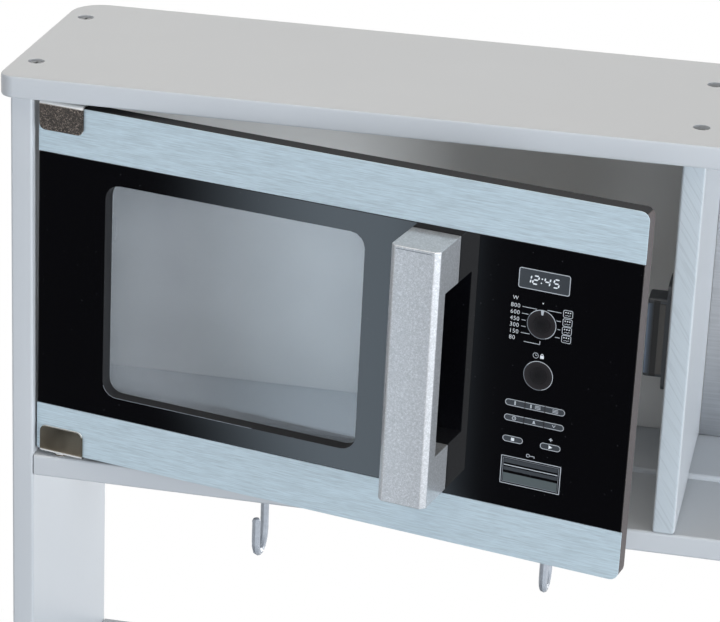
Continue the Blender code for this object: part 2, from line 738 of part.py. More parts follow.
def microwave():
    """The microwave door, hung a little out of square on its two clips and standing open."""
    x, y = MICROWAVE_AXIS
    width = LEFT_BAY_W - GAP_HINGE - GAP_FREE
    height = BAY_H - GAP_TOP - GAP_FOOT
    hinge = hang("microwave_hinge", (x, y, TOP_UNDER - GAP_TOP), (0, SAG_ANGLE, -OPEN_ANGLE))
    slip = height * math.sin(SAG_ANGLE)
    size = (-PIVOT_IN, width - PIVOT_IN, -height, 0)
    window = (WINDOW_SIDE - PIVOT_IN, WINDOW_SIDE + WINDOW_W - PIVOT_IN)
    pins = (("XY", 0, 0, -PIN_IN_DOOR, OVERRUN), ("XY", slip, 0, -height - OVERRUN, -height + PIN_IN_DOOR))
    door = window_door("microwave", hinge, size, window, (1, 2), pins)
    for edge, sense in ((0, -1), (-height, 1)):
        spread = CLIP_SIDE + (slip if sense > 0 else 0)
        left = -PIVOT_IN + spread
        pivot_clip("microwave_clip_" + ("top" if sense < 0 else "bottom"), hinge, left, edge, sense,
                   slip if sense > 0 else 0)
    handle("microwave", hinge, (window[1] + HANDLE_AFTER_WINDOW + GRIP_W / 2, -height / 2))
    reach = PIN_IN_DOOR - GAP - PIN_CLEAR
    pivot_pin("microwave_pin_top", (x, y, TOP_UNDER), PIN_IN_BOARD, GAP_TOP + reach, 0, (math.pi, 0, 0))
    collar = GAP_FOOT - CLIP_T - 2 * GAP - PIN_COLLAR_R * math.sin(SAG_ANGLE) - PIVOT_IN * math.sin(SAG_ANGLE)
    pivot_pin("microwave_pin_bottom", (x, y, SHELF_Z), PIN_IN_BOARD, GAP_FOOT + reach, collar)
    striker(door, hinge, width - PIVOT_IN, -CATCH_DOWN + GAP_TOP)


def striker(door, hinge, right, middle):
    """The steel plate let into the back of the door, which the magnet pulls on."""
    edge = right - STRIKER_W / 2 - STRIKER_IN
    across = (edge - STRIKER_W / 2, edge + STRIKER_W / 2)
    up = (middle - STRIKER_L / 2, middle + STRIKER_L / 2)
    back = DOOR_T / 2
    bed = rectangle(across[0] - GAP, across[1] + GAP, up[0] - GAP, up[1] + GAP, EDGE + GAP,
                    SMALL_CORNER_STEPS)
    alter(door, slab(bed, back - STRIKER_T - GAP, back + OVERRUN, 0, "XZ"))
    plate = slab(rectangle(*across, *up, EDGE, SMALL_CORNER_STEPS), back - STRIKER_T, back, 0, "XZ")
    piece("catch_striker", plate, "screw_steel", parent=hinge)


def magnet_catch():
    """The magnet catch on the divider: a screwed plate and a rounded case with two poles."""
    y = POST_Y + DOOR_SET + DOOR_T + 2 * GAP + CATCH_POLE_OUT
    origin = (DIVIDER_X - GAP, y, TOP_UNDER - CATCH_DOWN)
    plate = rectangle(0, CATCH_PLATE_D, -CATCH_PLATE_L / 2, CATCH_PLATE_L / 2, CATCH_PLATE_T * 2,
                      SMALL_CORNER_STEPS)
    catch = piece("catch_body", slab(plate, -CATCH_PLATE_T, 0, GAP, "YZ"), "catch_plastic", origin)
    case = rectangle(0, CATCH_D, -CATCH_L / 2, CATCH_L / 2, 2 * CATCH_SOFT, SMALL_CORNER_STEPS)
    alter(catch, slab(case, -CATCH_OUT, -CATCH_PLATE_T / 2, CATCH_SOFT, "YZ"), "UNION")
    poles = bmesh.new()
    middle = -(CATCH_OUT + CATCH_PLATE_T) / 2
    for sense in (-1, 1):
        centre = middle + sense * CATCH_POLE_W
        outline = rectangle(centre - CATCH_POLE_W / 2, centre + CATCH_POLE_W / 2,
                            -CATCH_L / 2 + CATCH_PLATE_T, CATCH_L / 2 - CATCH_PLATE_T)
        slab(outline, -CATCH_POLE_OUT, CATCH_POLE_OUT, 0, "XZ", poles)
    alter(catch, poles, "UNION")
    holes = bmesh.new()
    for sense in (-1, 1):
        spot = sense * (CATCH_L + CATCH_PLATE_L) / 4
        lathe([(SCREW_R, -CATCH_PLATE_T - OVERRUN), (SCREW_R, OVERRUN)], SMALL_STEPS, "YZ",
              (CATCH_PLATE_D / 2, spot), shape=holes)
    alter(catch, holes)


def carcase():
    """The boards of the upper and the lower unit."""
    side_panel("side_panel_left", -HALF_W + BOARD, -1)
    side_panel("side_panel_right", HALF_W - BOARD, 1)
    top_board()
    shelf_board()
    upper_divider()
    upper_back()
    lower_boards()
    worktop()


def lower_boards():
    """Floor, plinth, divider, oven floor, back, splash rail and control rail of the lower unit."""
    inner = INNER_W - 2 * GAP
    deep = BACK_Y + THIN_BOARD - BASE_Y
    middle_y = BASE_Y + deep / 2
    bottom = board("bottom_board", (inner, deep, BOARD), (0, middle_y, PLINTH_H + BOARD / 2))
    alter(bottom, bore_round(CUPBOARD_AXIS[0], CUPBOARD_AXIS[1] - middle_y,
                             BOARD / 2 - PIN_IN_BOARD - GAP, BOARD / 2 + OVERRUN))
    plinth_h = PLINTH_H - GAP
    board("plinth", (inner, BOARD, plinth_h), (0, BASE_Y + PLINTH_SET + BOARD / 2, plinth_h / 2), thin="y")
    low = FLOOR_Z + GAP
    high = WORKTOP_UNDER - GAP
    board("lower_back_panel", (inner, THIN_BOARD, high - low),
          (0, BACK_Y + THIN_BOARD / 2, (low + high) / 2), thin="y", soft=GAP)
    deep = BACK_Y - GAP - BASE_Y
    divider = board("lower_divider", (BOARD, deep, high - low), (0, BASE_Y + deep / 2, (low + high) / 2),
                    thin="x")
    oven_floor = OVEN_FLOOR_Z - BOARD / 2
    bay = BASE_BAY_W - 2 * GAP
    board("oven_floor", (bay, deep, BOARD), (OVEN_X, BASE_Y + deep / 2, oven_floor))
    splash_low = WORKTOP_Z + GAP
    board("splash_rail", (inner, BOARD, SPLASH_H), (0, REAR_Y - BOARD / 2, splash_low + SPLASH_H / 2),
          thin="y")
    rail_high = WORKTOP_UNDER - GAP
    rail_low = OVEN_TOP
    rail = board("control_rail", (bay, BOARD, rail_high - rail_low),
                 (OVEN_X, BASE_Y + BOARD / 2, (rail_low + rail_high) / 2), thin="y")
    bores = bmesh.new()
    for x in knob_places():
        lathe([(KNOB_SHAFT_R + GAP, -BOARD / 2 - OVERRUN), (KNOB_SHAFT_R + GAP, BOARD / 2 + OVERRUN)],
              SMALL_STEPS, "XZ", (x - OVEN_X, KNOB_Z - (rail_low + rail_high) / 2), shape=bores)
    alter(rail, bores)
    carry_rack(bpy.data.objects["side_panel_left"], divider)


def carry_rack(side, divider):
    """Blind grooves for the rack and bores for the oven door's pins."""
    start = BASE_Y + RACK_FRONT
    end = BASE_Y + RACK_FRONT + RACK_TRAVEL + RACK_D + GAP
    for panel, face, sense in ((side, -HALF_W + BOARD, -1), (divider, -BOARD / 2, 1)):
        origin = panel.location
        outline = rectangle(start - GAP - origin.y, end - origin.y, RACK_Z - GROOVE_H / 2 - origin.z,
                            RACK_Z + GROOVE_H / 2 - origin.z, GROOVE_CORNER, SMALL_CORNER_STEPS)
        inner = face - origin.x
        low, high = sorted((inner - sense * OVERRUN, inner + sense * GROOVE_D))
        alter(panel, slab(outline, low, high, 0, "YZ"))
        low, high = sorted((inner - sense * OVERRUN, inner + sense * (PIN_IN_BOARD + GAP)))
        alter(panel, bore_round(OVEN_AXIS[0] - origin.y, OVEN_AXIS[1] - origin.z, low, high, "YZ"))


def worktop():
    """The worktop, notched round the posts and cut out for the sink and the tap."""
    front = BASE_Y - WORKTOP_LIP
    side = HALF_W + OVERHANG
    tongue = INNER_W / 2 - GAP
    neck = POST_Y - GAP
    points = [(-side, front), (side, front), (side, neck), (tongue, neck), (tongue, REAR_Y),
              (-tongue, REAR_Y), (-tongue, neck), (-side, neck)]
    outline = rounded(points, [TOP_CORNER, TOP_CORNER, 2 * SOFT, 0, 0, 0, 0, 2 * SOFT], ARC_STEPS)
    top = piece("worktop", slab(outline, -BOARD / 2, BOARD / 2, SOFT), "grey_lacquer",
                (0, 0, WORKTOP_Z - BOARD / 2))
    half_w = SINK_W / 2 - SINK_FLANGE + SINK_T + GAP
    half_l = SINK_L / 2 - SINK_FLANGE + SINK_T + GAP
    hole = rectangle(SINK_X - half_w, SINK_X + half_w, HEARTH_Y - half_l, HEARTH_Y + half_l, SINK_CORNER)
    alter(top, slab(hole, -BOARD, BOARD))
    alter(top, lathe([(TAP_TAIL_R + GAP, -BOARD), (TAP_TAIL_R + GAP, BOARD)], centre=(SINK_X, TAP_Y)))
    alter(top, bore_round(CUPBOARD_AXIS[0], CUPBOARD_AXIS[1], -BOARD / 2 - OVERRUN,
                          -BOARD / 2 + PIN_IN_BOARD + GAP))


def rim(half_w, half_l, radius, z):
    """One ring of the basin: a rounded rectangle at a height."""
    outline = rectangle(-half_w, half_w, -half_l, half_l, radius)
    return [Vector((point.x, point.y, z)) for point in outline]


def drain_ring(radius, z):
    """A ring round the drain, each of its points facing one of the basin's corner points."""
    steps = 4 * (CORNER_STEPS + 1)
    turns = [2 * math.pi * (step + 1 / 2) / steps for step in range(steps)]
    return [Vector((radius * math.cos(turn), radius * math.sin(turn), z)) for turn in turns]


def basin():
    """The pressed basin: flange, rounded walls, a floor that falls to the drain, one sheet thick."""
    half_w = SINK_W / 2
    half_l = SINK_L / 2
    flange = SINK_FLANGE
    floor_w = half_w - flange - SINK_TAPER
    floor_l = half_l - flange - SINK_TAPER
    fillet = SINK_FLOOR_CORNER
    inner = [(half_w, half_l, SINK_CORNER, SINK_T),
             (half_w - flange, half_l - flange, SINK_CORNER, SINK_T + SINK_CROWN),
             (half_w - flange - SINK_T, half_l - flange - SINK_T, SINK_CORNER - SINK_T, -SINK_T)]
    for step in range(CORNER_STEPS + 1):
        turn = math.pi / 2 * step / CORNER_STEPS
        draw = fillet * (1 - math.cos(turn)) / 2
        drop = fillet * (1 - math.sin(turn)) / 2
        inner.append((floor_w - draw, floor_l - draw, SINK_CORNER - draw, -SINK_DEPTH + drop + SINK_T))
    wall = SINK_T
    outer = [(w + (0 if index == 0 else wall), l + (0 if index == 0 else wall), r, z - wall)
             for index, (w, l, r, z) in enumerate(inner)]
    rings = [rim(*ring) for ring in inner]
    fall = SINK_DEPTH + SINK_T
    lip = DRAIN_R + DRAIN_RIM
    rings += [drain_ring(lip, -fall + SINK_T * 2 - GAP), drain_ring(DRAIN_R, -fall + SINK_T),
              drain_ring(DRAIN_R, -fall - SINK_T), drain_ring(lip, -fall - GAP)]
    rings += [rim(*ring) for ring in reversed(outer)]
    spot = (SINK_X, HEARTH_Y, WORKTOP_Z + GAP)
    piece("sink_basin", loft(rings, True), "brushed_steel", spot)
    strainer((SINK_X, HEARTH_Y, WORKTOP_Z + GAP - fall + SINK_T))


def strainer(spot):
    """The slotted strainer that drops into the drain; its origin is at the drain's rim."""
    stem = DRAIN_R - GAP * 2
    lap = DRAIN_R + STRAINER_LAP
    profile = [(stem, -STRAINER_T), (stem, GAP), (lap, SINK_T + GAP), (lap, STRAINER_T),
               (DRAIN_R, STRAINER_T + GAP), (stem - SINK_T, SINK_T), (STRAINER_DISH_R, SINK_T / 2)]
    plug = piece("sink_strainer", lathe(profile), "brushed_steel", spot)
    holes = bmesh.new()
    for centre in circle(STRAINER_HOLES_R, STRAINER_HOLES):
        lathe([(SCREW_R, -STRAINER_T - OVERRUN), (SCREW_R, STRAINER_T + OVERRUN)], WIRE_SIDES,
              centre=centre, shape=holes)
    alter(plug, holes)


def tap():
    """The tap: a fixed column, a spout that turns on its spigot and a lever on a side arm."""
    x = SINK_X
    y = TAP_Y
    foot = WORKTOP_Z + GAP
    profile = [(TAP_TAIL_R, -TAP_TAIL_L), (TAP_TAIL_R, 0), (TAP_FLANGE_R, 0),
               (TAP_FLANGE_R, TAP_FLANGE_H / 2), (TAP_FLANGE_R - TAP_FLANGE_H / 2, TAP_FLANGE_H),
               (TAP_COLUMN_R, TAP_FLANGE_H + EDGE), (TAP_COLUMN_R, TAP_COLUMN_H - EDGE),
               (TAP_COLUMN_R - EDGE, TAP_COLUMN_H), (TAP_SPIGOT_R, TAP_COLUMN_H),
               (TAP_SPIGOT_R, TAP_COLUMN_H + TAP_SPIGOT_H),
               (TAP_SPIGOT_R - EDGE, TAP_COLUMN_H + TAP_SPIGOT_H + EDGE)]
    base = piece("tap_base", lathe(profile), "brushed_steel", (x, y, foot))
    arm_z = TAP_FLANGE_H + (TAP_COLUMN_H - TAP_FLANGE_H) / 2
    arm = [(LEVER_ARM_R, TAP_COLUMN_R / 2), (LEVER_ARM_R, TAP_COLUMN_R + LEVER_ARM_OUT + LEVER_SOCKET_D)]
    alter(base, lathe(arm, SMALL_STEPS, "YZ", (0, arm_z)), "UNION")
    spout(x, y, foot + TAP_COLUMN_H + GAP)
    lever(x + TAP_COLUMN_R + LEVER_ARM_OUT, y, foot + arm_z)


def spout(x, y, z):
    """The gooseneck; its origin is on the turning axis at the foot of its hub."""
    hub_h = TAP_SPIGOT_H + EDGE + GAP
    top = hub_h + 3 * EDGE
    profile = [(TAP_COLUMN_R - EDGE, 0), (TAP_COLUMN_R, EDGE), (TAP_COLUMN_R, hub_h),
               (TAP_TUBE_R + EDGE, top)]
    neck = piece("tap_spout", lathe(profile), "brushed_steel", (x, y, z))
    path = [Vector((0, 0, top - EDGE)), Vector((0, 0, top + TAP_RISE / 2))]
    path += bend((0, -TAP_BEND, top + TAP_RISE), TAP_BEND, 0, math.pi, SMALL_STEPS)
    path.append(Vector((0, -2 * TAP_BEND, top + TAP_RISE - TAP_DROP)))
    alter(neck, tube(path, TAP_TUBE_R, SMALL_STEPS), "UNION")
    sock = TAP_SPIGOT_R + GAP
    alter(neck, lathe([(sock, -OVERRUN), (sock, hub_h)], ROUND_STEPS))
    mouth = top + TAP_RISE - TAP_DROP
    alter(neck, lathe([(TAP_MOUTH_R, mouth - OVERRUN), (TAP_MOUTH_R, mouth + TAP_MOUTH_D)], SMALL_STEPS,
                      centre=(0, -2 * TAP_BEND)))


def lever(x, y, z):
    """The tap's lever; its origin is on the level axis of its side arm."""
    profile = [(LEVER_HUB_R - EDGE, 0), (LEVER_HUB_R, EDGE), (LEVER_HUB_R, LEVER_HUB_W - EDGE),
               (LEVER_HUB_R - EDGE, LEVER_HUB_W)]
    hub = piece("tap_lever", lathe(profile, ROUND_STEPS, "YZ"), "brushed_steel", (x, y, z))
    stick = [(LEVER_R, LEVER_ARM_R + EDGE), (LEVER_SWELL_R, LEVER_L * LEVER_SWELL_SHARE),
             (LEVER_TIP_R, LEVER_L - EDGE), (LEVER_R, LEVER_L)]
    alter(hub, lathe(stick, SMALL_STEPS, centre=(LEVER_HUB_W / 2, 0)), "UNION")
    sock = LEVER_ARM_R + GAP
    alter(hub, lathe([(sock, -OVERRUN), (sock, LEVER_SOCKET_D + 2 * GAP)], SMALL_STEPS, "YZ"))


def hob():
    """The glass-look hob on the worktop, with two rings let into it."""
    outline = rectangle(-HOB_W / 2, HOB_W / 2, -HOB_L / 2, HOB_L / 2, HOB_CORNER)
    spot = (OVEN_X, HEARTH_Y, WORKTOP_Z + GAP)
    plate = piece("hob_plate", slab(outline, 0, HOB_T, DOOR_SOFT), "hob_glass", spot)
    for sense, radius in ((-1, RING_R_LARGE), (1, RING_R_SMALL)):
        outside = radius + RING_GROOVE_W
        groove = [(radius, HOB_T - RING_GROOVE_D), (outside, HOB_T - RING_GROOVE_D),
                  (outside, HOB_T + OVERRUN), (radius, HOB_T + OVERRUN)]
        alter(plate, lathe(groove, centre=(sense * RING_APART / 2, 0), closed=True))


def knob_places():
    """Where the knobs stand on the control rail, in x."""
    return even_row(KNOB_COUNT, KNOB_PITCH, OVEN_X)


def knob(name, x):
    """A turning knob with a skirt and a grip bar; its origin is on its axis at the rail's face."""
    profile = [(KNOB_SHAFT_R, KNOB_SHAFT_L), (KNOB_SHAFT_R, -GAP), (KNOB_R, -GAP),
               (KNOB_R, -KNOB_SKIRT_H), (KNOB_FACE_R, -KNOB_SKIRT_H - EDGE),
               (KNOB_FACE_R - EDGE / 2, -KNOB_H + EDGE), (KNOB_FACE_R - 2 * EDGE, -KNOB_H)]
    body = piece(name, lathe(profile, ROUND_STEPS, "XZ"), "knob_plastic", (x, BASE_Y, KNOB_Z))
    reach = KNOB_FACE_R - EDGE
    bar = rectangle(-KNOB_GRIP_W / 2, KNOB_GRIP_W / 2, -reach, reach, KNOB_GRIP_CORNER, SMALL_CORNER_STEPS)
    alter(body, slab(bar, -KNOB_H - KNOB_GRIP_H, -KNOB_H + EDGE, EDGE, "XZ"), "UNION")


def oven():
    """The oven door, which drops open on two level pins, and the wire rack."""
    y, z = OVEN_AXIS
    hinge = hang("oven_hinge", (OVEN_X, y, z))
    half = BASE_BAY_W / 2 - OVEN_SIDE_GAP
    high = OVEN_OPENING_H - GAP_TOP - OVEN_GAP_FOOT - OVEN_PIVOT_UP
    size = (-half, half, -OVEN_PIVOT_UP, high)
    ends = ((-half - OVERRUN, -half + PIN_IN_DOOR), (half - PIN_IN_DOOR, half + OVERRUN))
    pins = [("YZ", 0, 0, start, end) for start, end in ends]
    margin = WINDOW_SIDE
    window_door("oven", hinge, size, (-half + margin, half - margin), (2, 3), pins)
    handle("oven", hinge, (0, high - STRIP_TOP_H / 2), False)
    reach = OVEN_SIDE_GAP + PIN_IN_DOOR - GAP
    for label, sense in (("left", -1), ("right", 1)):
        spot = (OVEN_X + sense * BASE_BAY_W / 2, y, z)
        pivot_pin("oven_pin_" + label, spot, PIN_IN_BOARD, reach, 0, (0, -sense * math.pi / 2, 0))
    rack()


def rack():
    """The oven's wire rack: a rounded frame with rungs; its origin is the middle of its frame."""
    half_w = BASE_BAY_W / 2 + GROOVE_D - GAP - RACK_WIRE_R
    half_d = RACK_D / 2 - RACK_WIRE_R
    frame = [Vector((point.x, point.y, 0)) for point in
             rectangle(-half_w, half_w, -half_d, half_d, RACK_CORNER)]
    y = BASE_Y + RACK_FRONT + RACK_D / 2 + RACK_TRAVEL
    grid = piece("oven_rack", tube(frame, RACK_WIRE_R, closed=True), "brushed_steel", (OVEN_X, y, RACK_Z))
    rungs = bmesh.new()
    for x in even_row(RACK_RUNGS, 2 * half_w / (RACK_RUNGS + 1)):
        tube([(x, -half_d, 0), (x, half_d, 0)], RACK_RUNG_R, RUNG_SIDES, shape=rungs)
    alter(grid, rungs, "UNION")


def cupboard():
    """The cupboard door under the sink, with a routed panel line and a handle like the others."""
    x, y = CUPBOARD_AXIS
    width = BASE_BAY_W - GAP_HINGE - CUPBOARD_GAP_FREE
    height = WORKTOP_UNDER - FLOOR_Z - GAP_TOP - GAP_FOOT
    low = FLOOR_Z + GAP_FOOT
    hinge = hang("cupboard_hinge", (x, y, low))
    left = -width + PIVOT_IN
    right = PIVOT_IN
    outline = rectangle(left, right, 0, height, EDGE)
    door = piece("cupboard_door", slab(outline, -DOOR_T / 2, DOOR_T / 2, DOOR_SOFT, "XZ"), "grey_lacquer",
                 parent=hinge)
    front = -DOOR_T / 2
    rings = []
    for draw, level in ((0, front - OVERRUN), (0, front + PANEL_GROOVE_D / 2),
                        (PANEL_GROOVE_W / 2, front + PANEL_GROOVE_D),
                        (PANEL_GROOVE_W, front + PANEL_GROOVE_D / 2), (PANEL_GROOVE_W, front - OVERRUN)):
        margin = PANEL_MARGIN + draw
        line = rectangle(left + margin, right - margin, margin, height - margin, WINDOW_CORNER - draw)
        rings.append([place("XZ", point.x, point.y, level) for point in line])
    alter(door, loft(rings, True))
    for low_end, high_end in ((-OVERRUN, PIN_IN_DOOR), (height - PIN_IN_DOOR, height + OVERRUN)):
        alter(door, bore_round(0, 0, low_end, high_end, radius=PIN_R + PIN_CLEAR))
    handle("cupboard", hinge, (left + CUPBOARD_HANDLE_IN / 2, height - PANEL_MARGIN - GRIP_L / 2))
    reach = PIN_IN_DOOR - GAP
    pivot_pin("cupboard_pin_top", (x, y, WORKTOP_UNDER), PIN_IN_BOARD, GAP_TOP + reach, 0, (math.pi, 0, 0))
    pivot_pin("cupboard_pin_bottom", (x, y, FLOOR_Z), PIN_IN_BOARD, GAP_FOOT + reach, GAP_FOOT - GAP)


def build():
    """Builds every piece of the kitchen."""
    clear_scene()
    make_materials()
    carcase()
    microwave()
    magnet_catch()
    for number, x in enumerate(hook_places(), 1):
        hook(f"hook_{number}", x)
    basin()
    tap()
    hob()
    for number, x in enumerate(knob_places(), 1):
        knob(f"knob_{number}", x)
    oven()
    cupboard()


build()
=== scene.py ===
"""The finish of the play kitchen, laid out as an add-on and run as a script.

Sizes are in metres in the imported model's frame: +Z up, the front faces -Y, +X to the right. The
microwave door stands open, so its print and its brush lines are laid out in a frame of its own,
whose origin is at the top of the hinge axis. On the door, across runs from its hinged edge to the
right and down from its top edge.
"""
import json
import math

import bmesh
import bpy
from bpy.props import FloatProperty, FloatVectorProperty, IntProperty, PointerProperty
from mathutils import Euler, Matrix, Vector


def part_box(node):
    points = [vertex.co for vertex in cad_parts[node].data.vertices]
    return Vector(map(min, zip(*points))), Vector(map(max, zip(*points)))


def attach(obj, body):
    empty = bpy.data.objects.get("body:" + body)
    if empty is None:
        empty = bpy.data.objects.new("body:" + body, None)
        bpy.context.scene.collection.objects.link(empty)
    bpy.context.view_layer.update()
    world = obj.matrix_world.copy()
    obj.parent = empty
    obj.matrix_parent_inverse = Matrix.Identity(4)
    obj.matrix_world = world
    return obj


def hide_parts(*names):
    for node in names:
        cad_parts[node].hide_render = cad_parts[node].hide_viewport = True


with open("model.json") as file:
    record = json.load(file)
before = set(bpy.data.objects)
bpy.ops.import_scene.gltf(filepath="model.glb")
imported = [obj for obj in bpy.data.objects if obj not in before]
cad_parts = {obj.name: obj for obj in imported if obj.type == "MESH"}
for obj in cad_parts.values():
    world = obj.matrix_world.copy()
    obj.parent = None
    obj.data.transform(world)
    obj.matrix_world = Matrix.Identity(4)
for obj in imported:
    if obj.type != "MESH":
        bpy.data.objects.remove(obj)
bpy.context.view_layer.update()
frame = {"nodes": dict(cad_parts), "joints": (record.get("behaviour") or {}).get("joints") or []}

bl_info = {
    "name": "Play kitchen finish",
    "version": (1, 0, 0),
    "blender": (4, 5, 0),
    "location": "3D View > Sidebar > Kitchen",
    "description": "Gives a packed play kitchen its lacquer, metal, gloss and printed control panel",
    "category": "Object",
}

NODES = frame["nodes"]
HINGE = Vector(next(joint["pos_m"] for joint in frame["joints"] if joint["name"] == "microwave_hinge"))
SQUARE = Euler((0, 0, 0))
MM = 0.001

# The microwave door as it stands: open by one angle and hanging out of square by another
DOOR_OPEN = math.radians(11.5)
DOOR_SAG = math.radians(0.5)
DOOR_TURN = Euler((0, DOOR_SAG, -DOOR_OPEN))
DOOR_FRAME = Matrix.Translation(HINGE) @ DOOR_TURN.to_matrix().to_4x4()

# In the door's frame: its front, the handle's front, and the axis's distance from the hinged edge
DOOR_FRONT = -0.005
HANDLE_FRONT = -0.034
AXIS_ACROSS = 0.011

# The camera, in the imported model's frame
CAMERA_PLACE = Vector((0.0796, -1.3257, 1.3716))
CAMERA_AHEAD = Vector((-0.17584, 0.91399, -0.36565))
CAMERA_RIGHT = Vector((0.97815, 0.20406, 0.03970))
CAMERA_LENS = 143.95
SENSOR = 36.0
CLIP_NEAR = 0.05
CLIP_FAR = 60

# The soft boxes: name, place, size, power in watts and colour
LAMPS = (
    ("box_above", (-0.3, -0.2, 3.4), 2.6, 44, "FFF9F0"),
    ("box_back", (0.4, 3.2, 0.3), 1.4, 55, "F4F6FA"),
    ("box_front", (0.2, -3.6, 1.0), 1.8, 28, "E6F1FF"),
    ("box_left", (-3.2, -1.2, 1.6), 1.8, 10, "E4EEFF"),
    ("box_right", (3.1, -2.0, 0.85), 1.6, 126, "F1F8FF"),
)
LAMP_AIM = Vector((0, 0, 0.75))
SKY = "F2F5FA"
SKY_STRENGTH = 0.24

# The floor: how pale it is to bounced light and to the eye, its own glow, and where it fades out
FLOOR_RADIUS = 1.5
FLOOR_BOUNCE = 0.7
FLOOR_PALE = 0.26
FLOOR_GLOW = 0.80
FLOOR_FADE = (0.75, 1.4)

# What a mirror sees of the studio: a dark corner low on the left and one tall blue-white panel in
# it. A band is the angles in degrees where it starts, is full, begins to fade and ends
CORNER_ROUND = (-46, -41, -26, -20)
CORNER_UP = (-50, -42, -12, -6)
CORNER_STRENGTH = 0.05
PANEL_ROUND = (-38.3, -34.3, -33.4, -31.1)
PANEL_STRENGTH = 3.4
PANEL = "D6E9F9"

LACQUERED = ("side_panel_left", "side_panel_right", "top_board", "shelf_board", "worktop", "splash_rail",
             "lower_divider", "bottom_board", "oven_floor", "plinth", "control_rail", "cupboard_door")
BACKS = ("upper_back_panel", "lower_back_panel")
PINS = ("microwave_pin_top", "microwave_pin_bottom", "oven_pin_left", "oven_pin_right",
        "cupboard_pin_top", "cupboard_pin_bottom")
STEELWORK = ("sink_basin", "sink_strainer", "tap_base", "tap_spout", "tap_lever", "oven_rack")


def linear(code):
    """An sRGB hex code as linear red, green and blue."""
    shares = [int(code[place:place + 2], 16) / 255 for place in (0, 2, 4)]
    return tuple(share / 12.92 if share <= 0.04045 else ((share + 0.055) / 1.055) ** 2.4
                 for share in shares)


def colour(name, about, code):
    """A colour property with its default."""
    return FloatVectorProperty(name=name, description=about, subtype="COLOR", size=3, min=0, max=1,
                               default=linear(code))


def length(name, about, default):
    """A length property in metres."""
    return FloatProperty(name=name, description=about, default=default, min=0, unit="LENGTH", precision=5)


class KitchenColours(bpy.types.PropertyGroup):
    """The colours that a user would change."""
    lacquer: colour("Lacquer", "Satin lacquer on the boards", "C6C9CC")
    back: colour("Back", "Lacquer on the thin back panels and foil behind the doors", "E2DFDA")
    edge: colour("Sawn edge", "Lacquer over the divider's sawn front edge", "BCC4C9")
    gloss: colour("Gloss black", "Gloss face of the doors", "040407")
    door_side: colour("Door end", "Bare ends of the black doors", "5A5352")
    door_edge: colour("Door edge", "Painted edges and window cuts of the black doors", "0B0C10")
    strip: colour("Strip", "Brushed strips on the doors", "BECED6")
    silver: colour("Silver lacquer", "Handles", "B9BBBE")
    nickel: colour("Nickel", "Clips and pins", "7A7265")
    steel: colour("Steel", "Sink, tap and rack", "C2C3C5")
    sheet: colour("Steel sheet", "Bright steel sheet behind the right shelf", "AAACAF")
    catch: colour("Catch", "Magnet catch's case", "3E4145")
    hook: colour("Hook", "Coating of the hooks", "AEB2B8")
    ink: colour("Ink", "Light print on the control panel", "C3C7CC")
    # The grey ink also draws the painted highlight along the window's edge and the dark line on the handle
    grey_ink_and_highlight: colour("Dim ink", "Grey print on the control panel", "7A7E83")
    ink_dark: colour("Dark ink", "Dark fields of the control panel", "3C3F43")
    ink_band: colour("Band ink", "Lower band of the opening bar", "586061")
    ink_white: colour("White ink", "Digits and marks", "F2F5F8")


class KitchenSizes(bpy.types.PropertyGroup):
    """The small sizes of finishes and prints that a user would change."""
    print_thickness: length("Print thickness", "How far the print stands on the door", 0.00006)
    clip_bend: length("Clip bend", "Outer radius of the clips' two bends", 0.0022)
    clip_sheet: length("Clip sheet", "Thickness of the clips' steel", 0.001)
    clip_corner: length("Clip corner", "Radius of the clips' four corners", 0.0035)
    nail_head: length("Nail head", "Diameter of the back panels' nail heads", 0.005)
    nail_in: length("Nail margin", "Distance of the nails from the back panels' edges", 0.008)
    nail_apart: length("Nail spacing", "About how far apart the nails stand", 0.12)
    line: length("Printed line", "Width of the ticks beside the dials", 0.0003)
    outline: length("Printed outline", "Width of the outlines", 0.0003)
    round_over: length("Round-over", "Radius rolled onto each solid's edges", 0.0003)
    round_steps: IntProperty(name="Round-over steps", description="Segments of the round-over",
                             default=2, min=1, max=4)


def add(tree, kind, inputs=None, out=0, feeds=None, stops=(), **values):
    """Adds a node with its settings and links, and gives one output, or the node if out is None.

    Stops are a colour ramp's places and linear colours; feeds names the shader's socket that the
    output drives.
    """
    node = tree.nodes.new("ShaderNode" + kind)
    for name, value in values.items():
        setattr(node, name, value)
    for name, value in (inputs or {}).items():
        socket = node.inputs[name]
        if isinstance(value, bpy.types.NodeSocket):
            tree.links.new(value, socket)
        else:
            socket.default_value = (*value[:3], 1) if socket.type == "RGBA" else value
    for index, (place, shade) in enumerate(stops):
        marks = node.color_ramp.elements
        stop = marks[index] if index < 2 else marks.new(place)
        stop.position = place
        stop.color = (*shade, 1)
    if out is None:
        return node
    if feeds:
        tree.links.new(node.outputs[out], tree.nodes["Principled BSDF"].inputs[feeds])
    return node.outputs[out]


# A Mix node that mixes colours has them at sockets 6 and 7, and its result at output 2
COLOURS = {"data_type": "RGBA", "out": 2}


def principled(name, base, **sockets):
    """A material with a Principled shader, its plain values set on the shader's own sockets."""
    material = bpy.data.materials.new(name)
    material.use_nodes = True
    shader = material.node_tree.nodes["Principled BSDF"]
    shader.inputs["Base Color"].default_value = (*base, 1)
    for socket, value in sockets.items():
        shader.inputs[socket.replace("_", " ")].default_value = value
    return material, material.node_tree


def millimetres(tree, turn=SQUARE, stretch=(1, 1, 1), start=(0, 0, 0)):
    """The place on a solid in millimetres from a start, along turned axes, each divided by its stretch."""
    return add(tree, "Mapping", {"Vector": add(tree, "TexCoord", out="Object"), "Location": start,
                                 "Rotation": turn, "Scale": [MM * share for share in stretch]},
               vector_type="TEXTURE")


